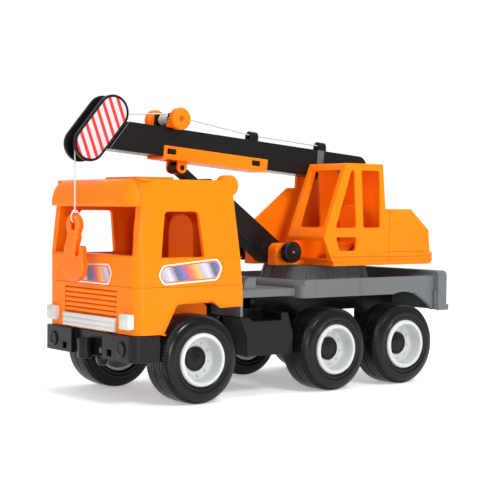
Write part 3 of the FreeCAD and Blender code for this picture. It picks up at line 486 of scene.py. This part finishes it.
def cabin_form(bm):
    """The crane's cabin with rounded window corners and roof."""
    corners = [
        (168, 155.5), (195, 155.5), (192, 212), (188, 212), (204, 155.5), (227, 155.5), (225, 212),
        (201, 212), (168.5, 146.5), (195.5, 146.5), (194.5, 133), (173.5, 133),
    ]
    soften(bm, 0, corners, 2.2)
    soften(bm, 0, [(181, 218.6), (229.5, 218.6), (153.4, 146), (155.9, 153)], 1.6, 3)


def deck_form(bm):
    """The deck with rounded front corners."""
    soften(bm, 0, [(58, 110)], 9, 6)
    soften(bm, 2, [(84, 116), (-84, 116)], 6, 5)


FORMS = {"cab_shell": cab_form, "crane_cabin": cabin_form, "deck": deck_form}


SHARP = 28


def refined(node, material, width):
    """The CAD node's own shape with its facets merged and its sharp edges rounded."""
    bm = bmesh.new()
    bm.from_mesh(NODES[node].data)
    bmesh.ops.remove_doubles(bm, verts=bm.verts, dist=1.5e-5)
    bmesh.ops.dissolve_limit(
        bm, angle_limit=math.radians(0.6), use_dissolve_boundaries=False,
        verts=bm.verts, edges=bm.edges,
    )
    if node in FORMS:
        FORMS[node](bm)
    mesh = bpy.data.meshes.new(node + "_shape")
    bm.to_mesh(mesh)
    bm.free()
    if "custom_normal" in mesh.attributes:
        mesh.attributes.remove(mesh.attributes["custom_normal"])
    shaded(mesh, SHARP)
    obj = bpy.data.objects.new(node + "_shape", mesh)
    SCENE.collection.objects.link(obj)
    bevel = obj.modifiers.new("round", "BEVEL")
    bevel.width = width * MM
    bevel.segments = 2
    bevel.limit_method = "ANGLE"
    bevel.angle_limit = math.radians(SHARP)
    bevel.harden_normals = True
    bevel.use_clamp_overlap = True
    bpy.context.view_layer.update()
    evaluated = obj.evaluated_get(bpy.context.evaluated_depsgraph_get())
    mesh = bpy.data.meshes.new_from_object(evaluated)
    bpy.data.objects.remove(obj)
    linked(node + "_shape", mesh, material, BODY_OF[node], (node,))


# ---------------------------------------------------------------- carried-over shapes

SPECIAL_LOOK = {
    "cab_floor": M_ORANGE, "boom_strap": M_STRAP, "strut_top_pin": M_BLACK,
}
EDGES = {
    "cab_seats": 2.0, "dashboard": 1.4, "operator_seat": 1.6, "cab_shell": 1.0, "bumper": 0.8,
    "boom_pin": 0.3, "strut_pin": 0.3, "strut_top_pin": 0.3, "head_pins": 0.3,
}
MODELLED = (
    "tyres_", "rims_", "hub_caps_", "hook", "rope_", "grille", "headlights", "fog_lamps",
    "winch_knobs",
)
for node in sorted(NODES):
    if not node.startswith(MODELLED):
        look = SPECIAL_LOOK.get(node, SLOT_LOOK[NODE_SLOT[node]])
        refined(node, look, EDGES.get(node, 0.5))


# ---------------------------------------------------------------- wheels

WHEELS = {"front": 0.0, "middle": 155.6, "rear": 246.2}
WHEEL_CENTRE_X, WHEEL_RADIUS = 69.0, 40.0
OUTER_HALF = [
    (17.2, 24.0), (17.7, 24.4), (18.2, 25.2), (18.4, 26.4), (18.3, 27.4), (17.9, 27.9), (18.2, 28.6),
    (18.4, 30.2), (18.3, 32.0), (17.9, 34.0), (17.2, 35.8), (16.6, 36.8), (16.2, 36.9), (15.8, 37.9),
    (14.6, 38.9), (12.8, 39.5), (12.6, 38.9), (12.0, 38.9), (11.8, 39.65), (9.0, 39.85), (8.8, 39.1),
    (8.2, 39.1), (8.0, 39.9), (5.0, 39.98), (4.8, 39.2), (4.2, 39.2), (4.0, 40.0), (1.0, 40.0),
    (0.8, 39.2), (0.2, 39.2),
]
TYRE = [(-h, r) for h, r in OUTER_HALF] + [(0.0, 39.2)] + OUTER_HALF[::-1]
RIM = [
    (-16, 5.5), (-16, 8), (2, 8), (2, 12), (2, 21), (-16, 21.2), (-16, 24), (17, 24), (17.6, 23.9),
    (18.1, 23.6), (19.2, 23.0), (19.5, 22.5), (19.5, 20.9), (19.2, 20.3), (18.6, 20.1), (12, 19.6),
    (7.4, 19.0), (6.4, 18.4), (6.1, 17.4), (6.0, 12.4), (5.8, 11.6), (5.0, 11.2), (5.0, 5.5),
]
CAP = [(5, 5.0), (5, 10.6), (5.3, 10.9), (6.4, 10.9), (7.2, 10.5), (7.8, 9.5), (8.3, 7.0), (8.6, 4.0)]
PIPS = {"front": [(8.6, 4.0), (8.7, 3.4), (9.6, 3.2), (9.9, 2.6), (10.0, 0)]}
FLAT_PIP = [(8.7, 0)]
NUT = [(5.6, 1.35), (6.9, 1.35), (7.3, 1.1), (7.4, 0)]
NUTS, NUT_CIRCLE = 10, 14.9
RIBS = 96


def tread(height, radius, k):
    """The fine notches round the tyre's shoulders."""
    if k % 2 and 13.0 < abs(height) < 16.4 and radius > 36.8:
        return height * 0.985, radius - 1.1
    return height, radius


for name, axle_y in WHEELS.items():
    tyres, rims, caps = bmesh.new(), bmesh.new(), bmesh.new()
    for side in (1, -1):
        outward = Matrix.Rotation(math.radians(90 * side), 4, "Y")
        hub = Matrix.Translation((side * WHEEL_CENTRE_X, axle_y, WHEEL_RADIUS)) @ outward
        turned_mesh(tyres, TYRE, hub, RIBS * 2, tread)
        turned_mesh(rims, RIM, hub, 72)
        turned_mesh(caps, CAP + PIPS.get(name, FLAT_PIP), hub, 40)
        for n in range(NUTS):
            spin = Matrix.Rotation(math.radians(360 / NUTS * n + 9), 4, "Z")
            turned_mesh(rims, NUT, hub @ spin @ Matrix.Translation((NUT_CIRCLE, 0, 0)), 10)
    wheel_nodes = ("tyres_" + name, "rims_" + name, "hub_caps_" + name)
    body = BODY_OF[wheel_nodes[0]]
    build(f"{name}_tyres_visual", tyres, TRUCK, M_TYRE, body, wheel_nodes[:1], 32)
    build(f"{name}_rims_visual", rims, TRUCK, M_RIM, body, wheel_nodes[1:2], 40)
    build(f"{name}_caps_visual", caps, TRUCK, M_BLACK, body, wheel_nodes[2:], 40)


# ---------------------------------------------------------------- hook and ropes

ROPE_R = 0.7


def steps_between(first, last):
    """Points on a straight line, about a third of a millimetre apart."""
    first, last = Vector(first), Vector(last)
    count = max(2, int((last - first).length / 0.35))
    return [first.lerp(last, k / count) for k in range(count + 1)]


HOOK_OUTLINE = [
    (1.0, 107.2), (6.4, 108.8), (10.6, 112.8), (12.4, 118.2), (12.2, 124.4), (11.5, 130.4), (11.2, 135.6),
    (10.4, 138.6), (8.9, 139.7), (7.4, 138.8), (6.9, 136), (6.7, 132.6), (5.9, 130.6), (4.2, 130.1),
    (2.9, 130.9), (2.5, 133.6), (3.3, 138.6), (4.9, 144), (5.7, 147.2), (5.1, 149.4), (5.9, 151.6),
    (7.4, 155.2), (7.6, 159.2), (6.6, 163.4), (3.9, 166.7), (0, 167.8), (-3.9, 166.7), (-6.6, 163.4),
    (-7.6, 159.2), (-7.3, 155), (-6.3, 151.4), (-6.4, 148), (-8.1, 143.4), (-9.8, 137), (-10.7, 129.4),
    (-10.9, 121), (-9.3, 113.6), (-4.8, 108.8),
]


def smooth_loop(points, steps=4):
    """A closed curve through the points."""
    out = []
    count = len(points)
    for i in range(count):
        a, b, c, d = (Vector(points[(i + k) % count]) for k in (-1, 0, 1, 2))
        for k in range(steps):
            t = k / steps
            square = (2 * a - 5 * b + 4 * c - d) * t * t
            cube = (3 * b - a - 3 * c + d) * t ** 3
            out.append(tuple(0.5 * (2 * b + (c - a) * t + square + cube)))
    return out


def moved_in(loop, distance):
    """The closed loop with each point moved along its normal."""
    count = len(loop)
    out = []
    for i in range(count):
        along = (Vector(loop[(i + 1) % count]) - Vector(loop[i - 1])).normalized()
        out.append(tuple(Vector(loop[i]) + Vector((-along.y, along.x)) * distance))
    return out


def pillow_mesh(bm, rim, hole, half, radius, steps=6):
    """Add a slab with a hole whose edges are rounded by the radius all the way round."""
    rings = []
    for k in range(-steps, steps + 1):
        angle = math.pi / 2 * k / steps
        inset = radius * (1 - math.cos(angle))
        for side in (-1, 1) if k == 0 else (1 if k > 0 else -1,):
            rings.append((inset, side * (half - radius) + radius * math.sin(angle)))
    made = [
        [
            [bm.verts.new((u, level, v)) for u, v in loop]
            for loop in (moved_in(rim, inset), moved_in(hole, -inset))
        ]
        for inset, level in rings
    ]
    for first, second in zip(made, made[1:]):
        for near, far in zip(first, second):
            for i in range(len(near)):
                n = (i + 1) % len(near)
                bm.faces.new((near[i], near[n], far[n], far[i]))
    for end in (made[0], made[-1]):
        edges = [
            bm.edges.get((loop[i], loop[(i + 1) % len(loop)])) for loop in end for i in range(len(loop))
        ]
        bmesh.ops.triangle_fill(bm, use_beauty=True, use_dissolve=False, edges=edges)


hook_mesh = bmesh.new()
eye_hole = arc(0, 160.4, 2.6, 0, 180, 12) + arc(0, 156.0, 2.6, 180, 360, 12)
pillow_mesh(hook_mesh, smooth_loop(HOOK_OUTLINE), eye_hole, 4.2, 1.7)
HOOK = place(0, ROPE_LINE_Y, 0, 20, "Z")
build("hook_visual", hook_mesh, HOOK, M_HOOK, "hook", ("hook",), 50)


def rope(name, points, frame_matrix, body, nodes=(), closed=False):
    """A stretch of laid rope along points."""
    bm = bmesh.new()
    sweep_mesh(bm, points, ROPE_R, 10, closed, strands=True)
    return build(name, bm, frame_matrix, M_ROPE, body, nodes, 80)


DRUM_TOP = WINCH_Z + 4.5 + 0.7 + 0.4
BAR_TOP = 22.6 + 2.0 + 0.7
SHEAVE = (-294.4, 0.8)
GUIDE_HOLE = (0, -102, 25.8)
run = rope(
    "rope_run_visual",
    steps_between((0, -202.9, DRUM_TOP), (0, -266.5, BAR_TOP + 0.3)),
    BOOM, None, ("rope_run",),
)
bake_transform(run)
over_bar = steps_between((0, -266.4, BAR_TOP + 0.25), (0, -269.2, BAR_TOP - 0.1))
wrap = [(0, y, z) for y, z in arc(*SHEAVE, 4.4, 46, 172, 21)]
rope(
    "rope_head_visual",
    over_bar + steps_between(over_bar[-1], wrap[0])[1:] + [Vector(p) for p in wrap[1:]],
    BOOM, "head", ("rope_head",),
)
rope(
    "rope_tail_visual",
    steps_between((0, -201.9, DRUM_TOP), GUIDE_HOLE)
    + steps_between(GUIDE_HOLE, (0, -11.5, GUIDE_HOLE[2]))[1:],
    BOOM, "boom", ("rope_tail",),
)
fall_points = steps_between((0, ROPE_LINE_Y, FALL_TOP), (0, ROPE_LINE_Y, FALL_END))
fall = rope("rope_fall_visual", fall_points, TRUCK, None, ("rope_fall",))
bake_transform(fall)
loop_angles = [math.pi * k / 24 for k in range(48)]
loop_points = [
    (0.6 + 0.5 * math.sin(a), 5.3 * math.sin(a), 165.2 + 5.0 * math.cos(a)) for a in loop_angles
]
rope("hook_loop_visual", loop_points, HOOK, "hook", closed=True)
knot = bmesh.new()
trefoil = []
for k in range(72):
    t = 2 * math.pi * k / 72
    trefoil.append((
        0.72 * (math.sin(t) + 2 * math.sin(2 * t)),
        0.72 * (math.cos(t) - 2 * math.cos(2 * t)) + ROPE_LINE_Y,
        170.1 - 0.85 * math.sin(3 * t),
    ))
sweep_mesh(knot, trefoil, 0.72, 10, closed=True)
build("knot_visual", knot, TRUCK, M_ROPE, "hook", (), 80)

coil = bmesh.new()
TURNS, TURN_STEPS, TURN_PITCH, COIL_RADIUS = 9, 40, 1.5, 5.2
coil_points = [
    (
        (k / TURN_STEPS - TURNS / 2) * TURN_PITCH,
        WINCH_Y + COIL_RADIUS * math.cos(2 * math.pi * k / TURN_STEPS),
        WINCH_Z + COIL_RADIUS * math.sin(2 * math.pi * k / TURN_STEPS),
    )
    for k in range(TURNS * TURN_STEPS + 1)
]
sweep_mesh(coil, coil_points, ROPE_R, 8)
build("drum_coil_visual", coil, BOOM, M_ROPE, "winch", (), 80)


# ---------------------------------------------------------------- piece helpers


def piece(name, shapes, material, body, frame_matrix=None, nodes=(), angle=34, width=0.0):
    """One piece made by running mesh-building calls on a fresh bmesh."""
    bm = bmesh.new()
    for shape in shapes:
        shape(bm)
    if width:
        bevelled(bm, width)
    return build(name, bm, frame_matrix or TRUCK, material, body, nodes, angle)


def box(*corners, width=0.4):
    """A box with rounded edges: its low corner's three numbers, then its high corner's."""
    return lambda bm: box_mesh(bm, corners[:3], corners[3:], width)


def plate(outline, plane, low, high):
    """An outline made into a plate between two levels."""
    return lambda bm: plate_mesh(bm, outline, plane, low, high)


def bead(points, radius, closed=False):
    """A thin round line along points."""
    return lambda bm: sweep_mesh(bm, points, radius, 8, closed)


def turning(profile, x, y, z, axis="X", side=1, count=32, shape=None):
    """A turned detail whose profile's heights run along an axis of the truck, to one side."""
    tilt = {"X": (90, "Y"), "Y": (-90, "X"), "Z": (0, "Z")}[axis]
    spin = Matrix.Rotation(math.radians(tilt[0] * side), 4, tilt[1])
    return lambda bm: turned_mesh(bm, profile, Matrix.Translation((x, y, z)) @ spin, count, shape)


# ---------------------------------------------------------------- cab details


def cab_ring(level, out):
    """The cab's outline at a level, from one rear corner round the front to the other."""
    corner = 10 + out
    left = arc(68.5, -54, corner, 0, -90, 8)
    right_side = arc(-68.5, -54, corner, -90, -180, 8)
    points = [(78.5 + out, 48)] + left + right_side + [(-78.5 - out, 48)]
    return [(x, y, level) for x, y in points]


def visor_ring(level, front, half, corner):
    """The visor's outline at a level: rounded front corners, its back buried in the cab."""
    left = arc(half - corner, front + corner, corner, 0, -90, 10)
    right_side = arc(corner - half, front + corner, corner, -90, -180, 10)
    points = [(half, VISOR_BACK)] + left + right_side + [(-half, VISOR_BACK)]
    return [(x, y, level) for x, y in points]


VISOR_BACK = -45
# Level, front, half width and corner radius.
VISOR = [
    (175.4, -66.6, 72.8, 12), (175.2, -67.4, 73.6, 12.6), (175.8, -68.2, 74.3, 13.2),
    (177.4, -68.6, 74.3, 13.6), (181, -68.6, 73.8, 14), (186, -68.1, 73.0, 14.4),
    (190, -67.1, 72.1, 14.6), (193.5, -65.4, 71.0, 14.8), (196.3, -62.8, 69.7, 15),
    (198.2, -59.5, 68.2, 14), (199.3, -55.5, 66.6, 10), (199.6, -50, 64.6, 4.5),
]
WELL = [(-40, 63.8), (-24, 89.2), (24, 89.2), (30.8, 84.5), (30.8, 63.8)]


def visor_mesh(bm):
    """Add the rounded visor over the windscreen."""
    rings = [[bm.verts.new(p) for p in visor_ring(*row)] for row in VISOR]
    for first, second in zip(rings, rings[1:]):
        for i in range(len(first)):
            n = (i + 1) % len(first)
            bm.faces.new((first[i], first[n], second[n], second[i]))
    bm.faces.new(rings[0])
    bm.faces.new(rings[-1])


piece("visor", [visor_mesh], M_ORANGE, "chassis", angle=50)
for side, name in SIDES:
    low, high = side * 31 - 20, side * 31 + 20
    back_view = rounded_outline([(low, 94), (high, 94), (high, 168), (low, 168)], 19, 8)
    piece(
        f"seat_back_{name}", [plate(back_view, "XZ", 13.5, 30)], M_ORANGE, "chassis",
        width=2.4, angle=40,
    )
    wall = plate(WELL, "YZ", *levels(side, 46.0, 48.5))
    piece(f"wheel_well_{name}", [wall], M_ORANGE, "chassis", width=0.5)
piece("cab_seam", [bead(cab_ring(104.9, -0.12), 0.32)], M_SEAM, "chassis", angle=60)
piece("cab_belt", [bead(cab_ring(129.6, -0.1), 0.45)], M_ORANGE, "chassis", angle=60)
slats = [box(-45.8, -61.4, 77.2, 45.8, -58, 100.8, width=0.3)]
LOUVRE = [(-61, 0), (-63.6, 0.3), (-63.9, 0.9), (-63.7, 3.2), (-62.3, 4.1), (-61, 4.1)]
for row in range(5):
    foot = 78.2 + row * 4.5
    slats.append(plate([(y, foot + z) for y, z in LOUVRE], "YZ", -45.4, 45.4))
piece("grille_visual", slats, M_ORANGE, "chassis", nodes=("grille",), width=0.18)
piece(
    "strip_visual",
    [
        box(-46, -66.3, 64.5, 46, -63.8, 77, width=0.5),
        box(-45.6, -66.8, 64.8, 45.6, -65, 68.0, width=0.4),
        box(-45.6, -66.8, 68.5, 45.6, -65, 72.6, width=0.4),
        box(-45.6, -67.0, 73.1, 45.6, -65, 76.9, width=0.5),
    ],
    M_WHITE, "chassis", nodes=("grille_strip",),
)
# Each lamp part: nearest and furthest x, then front, bottom, back, top and the rounding.
LAMP_PARTS = (
    ("rim", 57.0, 72.8, (-69.2, 68.2), (-60, 81.9), 1.7, M_WHITE),
    # Painted shade: the grey ring round the lens stands in for the shade in the recess between the rim
    # and the lens.
    ("shade_ring", 59.6, 70.2, (-69.35, 70.6), (-68, 79.6), 0.9, M_LENS),
    ("lens", 60.4, 69.4, (-69.9, 71.4), (-68, 78.8), 0.8, M_WHITE),
)
FOG_LAMP = [(-0.8, 7.0), (0.3, 7.0), (0.75, 6.4), (0.75, 4.7), (0.15, 4.2), (0, 0)]
ARCH = [(-38.6, 63.8), (-22.9, 90.3), (15.2, 92.3), (25.2, 86.0), (47.5, 86.9)]
for side, name in SIDES:
    for part, near, far, foot, head, width, look in LAMP_PARTS:
        low, high = levels(side, near, far)
        stands_for = ("headlights",) if side == 1 and part == "lens" else ()
        piece(
            f"headlight_{part}_{name}", [box(low, *foot, high, *head, width=width)], look, "chassis",
            nodes=stands_for,
        )
    piece(
        f"fog_lamp_{name}", [turning(FOG_LAMP, side * 60, -68.6, 51, "Y", -1)], M_BLACK, "chassis",
        nodes=("fog_lamps",) if side == 1 else (), angle=40,
    )
    curve = rounded_outline([(48, 50)] + ARCH, 5, 5)[6:-6]
    lip = [(side * 78.6, y, z) for y, z in curve]
    ends = [(side * 78.5, -38.6, 63.9)], [(side * 78.5, 47.5, 86.9)]
    piece(f"arch_lip_{name}", [bead(ends[0] + lip + ends[1], 0.8)], M_ORANGE, "chassis", angle=60)

SCREW = [(-1, 2.6), (0.2, 2.6), (0.5, 2.2), (0.5, 0.6), (0, 0)]
LOBE = [(-7, 6.4), (-4, 6.4), (-1.6, 5.6), (-0.4, 3.2), (0, 0)]
BAND = [(0, 6.5), (0.2, 6.9), (1.4, 6.9), (1.6, 6.5)]
piece("bumper_screw", [turning(SCREW, 17, -62.9, 46, "Y", -1)], M_STRAP, "chassis", angle=40)
piece("bumper_lobe", [turning(LOBE, 9, -61.5, 37.5, "Y", -1)], M_BLACK, "chassis", angle=60)
piece("tow_band", [turning(BAND, 0, -69.2, 52, "Z")], M_BLACK, "chassis", angle=50)


# ---------------------------------------------------------------- printed labels


def label_outline(width, height):
    """A long hexagon with rounded corners, a little taller at one end."""
    half, tall = width / 2, height / 2
    points = [
        (-half, -0.1 * tall), (-half + 5, -tall), (half - 6, -tall), (half, 0.1 * tall),
        (half - 5, tall), (-half + 5, tall * 0.8),
    ]
    return rounded_outline(points, 3.2, 4)


def label(name, width, height, spot, turn, tip=0.0):
    """A printed label: a white-edged plate with an abstract coloured print, lying on a flat panel."""
    lie = Matrix.Translation(at(*spot)) @ Matrix.Rotation(math.radians(turn), 4, "Z")
    lie = lie @ Matrix.Rotation(math.radians(tip), 4, "Y") @ Matrix.Scale(MM, 4)
    paper = label_outline(width, height)
    for layer, wide, tall, front, look in (
        ("paper", 1, 1, -0.1, M_PAPER), ("edge", 0.955, 0.86, -0.14, M_HOOK),
        ("print", 0.925, 0.72, -0.18, M_PRINT),
    ):
        area = [(u * wide, v * tall) for u, v in paper]
        piece(f"{name}_{layer}", [plate(area, "XZ", front, 0.2)], look, "chassis", lie)


label("front_label", 69, 19, (3.4, -64.05, 114.8), 0)
label("left_label", 69, 19.5, (78.55, -7.5, 117.8), 90, -3)
label("right_label", 69, 19.5, (-78.55, -7.5, 117.8), -90, 3)


# ---------------------------------------------------------------- deck and pedestal

ribs = bmesh.new()
RIB = [(50.4, 118), (51.6, 118), (56.9, 101.2), (55.4, 101.2)]
RIB_PAIRS = 16
for n in range(RIB_PAIRS):
    for lean in (-2.2, 2.2):
        spin = Matrix.Rotation(math.radians(360 / RIB_PAIRS * n + lean), 4, "Z")
        start = len(ribs.verts)
        plate_mesh(ribs, RIB, "XZ", -0.35, 0.35)
        ribs.verts.ensure_lookup_table()
        for v in ribs.verts[start:]:
            v.co = spin @ v.co
build("pedestal_ribs", ribs, place(0, SLEW_CENTRE_Y, 0), M_GREY, "chassis")
marks, cheeks, blocks = [], [], []
for side, _ in SIDES:
    low, high = levels(side, 83.9, 84.25)
    marks += [box(low, y, 91, high, y + 0.7, 106, width=0.1) for y in (132, 187, 190)]
    low, high = levels(side, 83.2, 88.6)
    cheeks.append(box(low, 286.5, 72.6, high, 289.6, 92))
    low, high = levels(side, 27, 44)
    blocks.append(box(low, 57, 79, high, 66, 91.5, width=0.8))
    blocks.append(box(low + 2, 88, 80, high - 4, 94, 91.5, width=0.8))
piece("tail_cheeks", cheeks, M_GREY, "chassis")
piece("deck_marks", marks, M_GREY, "chassis")
piece("shelf_blocks", blocks, M_BLACK, "chassis")


# ---------------------------------------------------------------- crane details

HEAD_ENDS = (((-267.2, 26.5), -34), ((-288.7, -4.4), 146))


def head_line(radius, steps):
    """The head plates' long round outline at a distance from the line between their two centres."""
    return [p for centre, first in HEAD_ENDS for p in arc(*centre, radius, first, first + 180, steps)]


for side, name in SIDES:
    area = plate(head_line(13.6, 15), "YZ", *levels(side, 9.9, 10.15))
    piece(f"head_stripes_{name}", [area], M_HEAD_STRIPES, "head", BOOM)
for side, name in SIDES:
    ring = [(side * 10.0, y, z) for y, z in head_line(15.3, 20)]
    piece(f"head_rim_{name}", [bead(ring, 0.7, closed=True)], M_BLACK, "head", BOOM, angle=60)
# Painted highlight: thin grey lines on the black boom, along the slanted front edges of its outer
# section, standing in for the light that those rims catch.
end_highlights = [bead([(x, -269.5, -6.2), (x, -251.6, 19.6)], 0.35) for x in (12.55, -12.55)]
piece("boom_end_highlight", end_highlights, M_STRAP, "boom", BOOM, angle=60)


def knurl(height, radius, k):
    """The knob's knurled inner half."""
    if height < 5.4 and radius > 9 and k % 4 in (0, 1):
        return height, radius - 0.85
    return height, radius


KNOB = [
    (0, 2.4), (0, 8.6), (0.5, 9.7), (0.9, 10.1), (4.9, 10.1), (5.3, 9.8), (5.6, 9.5), (6.0, 9.9),
    (7.0, 10.3), (7.5, 10.1), (8.0, 9.4), (8.0, 3.0), (7.0, 2.6), (6.6, 0),
]
SHAFT_END = [(0, 2.3), (0.2, 2.3), (0.5, 1.8), (0.5, 0)]
for side, name in SIDES:
    piece(
        f"winch_knob_{name}", [turning(KNOB, side * 16.5, WINCH_Y, WINCH_Z, "X", side, 88, knurl)],
        M_ORANGE, "winch", BOOM, ("winch_knobs",) if side == 1 else (), 40,
    )
    shaft = turning(SHAFT_END, side * 23.2, WINCH_Y, WINCH_Z, "X", side)
    piece(f"winch_shaft_end_{name}", [shaft], M_SEAM, "winch", BOOM, (), 40)
ear = rounded_outline([(-212, 20.2), (-193, 20.2), (-195, 31), (-202, 35.4), (-209, 31)], 3, 4)
ears = [plate(ear, "YZ", *levels(side, 13.0, 14.4)) for side, _ in SIDES]
piece("winch_ears", ears, M_ORANGE, "boom", BOOM, width=0.4)

guides = []
for y in (-102, -14):
    outer = arc(0, 24.3, 5.4, -8, 188, 22)
    inner = arc(0, 24.3, 3.1, 188, -8, 22)
    loop = [(5.4, 19.6)] + outer + [(-5.4, 19.6), (-3.1, 19.6)] + inner + [(3.1, 19.6)]
    guides.append(plate(loop, "XZ", y - 4.2, y + 4.2))
piece("rope_guides_visual", guides, M_BLACK, "boom", BOOM, ("rope_guides",), width=0.5)

KNOB_FACE = [
    (0, 10.4), (0.5, 10.2), (0.9, 9.6), (1.1, 8.6), (0.8, 7.9), (0.7, 2.0), (1.2, 1.4), (1.3, 0.6),
    (1.3, 0),
]
KNOB_PIP = [(0, 0.8), (0.5, 0.6), (0.6, 0)]
for side, name in SIDES:
    face = turning(KNOB_FACE, side * 40.6, *STRUT_PIVOT, "X", side, 48)
    piece(f"strut_knob_face_{name}", [face], M_BLACK, "upper", angle=40)
    pip = turning(KNOB_PIP, side * 41.8, *STRUT_PIVOT, "X", side, 16)
    piece(f"strut_knob_pip_{name}", [pip], M_LENS, "upper")

HOOD_FACE_X = 70.0
SEAMS = (
    ((232, 126.5), (296.5, 126.5)), ((232, 131.5), (296.5, 131.5)), ((163, 127.2), (232, 127.2)),
    ((239, 122), (239, 173)),
)
seams = [bead([(HOOD_FACE_X, *first), (HOOD_FACE_X, *last)], 0.28) for first, last in SEAMS]
piece("hood_lines", seams, M_SEAM, "upper", angle=60)
SMALL_HEAD = [(0, 1.6), (0.5, 1.4), (0.5, 0)]
heads = [turning(SMALL_HEAD, x, y, 118.3, "Z", 1, 20) for x in (60, 66) for y in (182, 262)]
piece("base_screws", heads, M_BLACK, "upper")


# ---------------------------------------------------------------- floor, light and camera

floor_mesh = bpy.data.meshes.new("floor")
ground = bmesh.new()
bmesh.ops.create_circle(ground, cap_ends=True, segments=96, radius=2.2)
ground.to_mesh(floor_mesh)
ground.free()
floor = bpy.data.objects.new("floor", floor_mesh)
SCENE.collection.objects.link(floor)
floor_look = Shader("pale studio floor")
cloud = floor_look.ramp(floor_look.noise(3.0, 4.0), 0.3, 0.7)
tone = floor_look.mix(cloud, (0.86, 0.86, 0.86, 1), (0.89, 0.89, 0.89, 1))
floor_look.put(floor_look.surface, "Base Color", tone)
floor_look.put(floor_look.surface, "Roughness", 0.7)
floor_look.put(floor_look.surface, "Emission Color", (1, 1, 1, 1))
floor_look.put(floor_look.surface, "Emission Strength", 0.36)
floor_mesh.materials.append(floor_look.material)

world = bpy.data.worlds.new("studio")
world.use_nodes = True
sky = world.node_tree
backdrop = sky.nodes["Background"]
facing = sky.nodes.new("ShaderNodeVectorMath")
facing.operation = "DOT_PRODUCT"
facing.inputs[1].default_value = (-0.796, 0.605, 0.0)
sky.links.new(sky.nodes.new("ShaderNodeTexCoord").outputs["Generated"], facing.inputs[0])
spread = sky.nodes.new("ShaderNodeMapRange")
for socket, value in (("From Min", 0.55), ("From Max", 0.92), ("To Min", 0.6), ("To Max", 1.06)):
    spread.inputs[socket].default_value = value
sky.links.new(facing.outputs["Value"], spread.inputs["Value"])
sky.links.new(spread.outputs["Result"], backdrop.inputs["Strength"])
backdrop.inputs["Color"].default_value = (1.0, 1.0, 1.0, 1)
SCENE.world = world
SCENE.view_settings.view_transform = "Standard"


CENTRE = (0.0, 0.0, 0.13)


def area_light(name, spot, size, power):
    """A soft round light that points at the truck."""
    data = bpy.data.lights.new(name, "AREA")
    data.shape = "DISK"
    data.size = size
    data.energy = power
    light = bpy.data.objects.new(name, data)
    SCENE.collection.objects.link(light)
    light.location = spot
    aim = (Vector(CENTRE) - Vector(spot)).normalized()
    light.rotation_euler = aim.to_track_quat("-Z", "Y").to_euler()


area_light("key", (1.5, -0.1, 1.3), 0.5, 20.0)
area_light("side_fill", (1.5, -0.5, 0.3), 0.5, 5.0)
area_light("front_fill", (0.1, -1.8, 0.8), 0.6, 5.0)
area_light("top", (0.2, 0.2, 1.9), 1.2, 16.0)

AZIMUTH, ELEVATION, ROLL = math.radians(52.78), math.radians(1.95), math.radians(0.43)
CAMERA_SPOT = (1.03085, -0.77218, 0.17683)
level_reach = math.cos(ELEVATION)
back = Vector((
    math.sin(AZIMUTH) * level_reach, -math.cos(AZIMUTH) * level_reach, math.sin(ELEVATION)
))
right = (-back).cross(Vector((0, 0, 1))).normalized()
up = right.cross(-back)
rolled_right = right * math.cos(ROLL) + up * math.sin(ROLL)
rolled_up = up * math.cos(ROLL) - right * math.sin(ROLL)
camera_data = bpy.data.cameras.new("photo_view")
camera_data.lens = 94.45
camera_data.sensor_width = 36.0
camera_data.clip_start = 0.05
camera = bpy.data.objects.new("photo_view", camera_data)
SCENE.collection.objects.link(camera)
axes = Matrix((rolled_right, rolled_up, back)).transposed().to_4x4()
camera.matrix_world = Matrix.Translation(CAMERA_SPOT) @ axes
SCENE.camera = camera
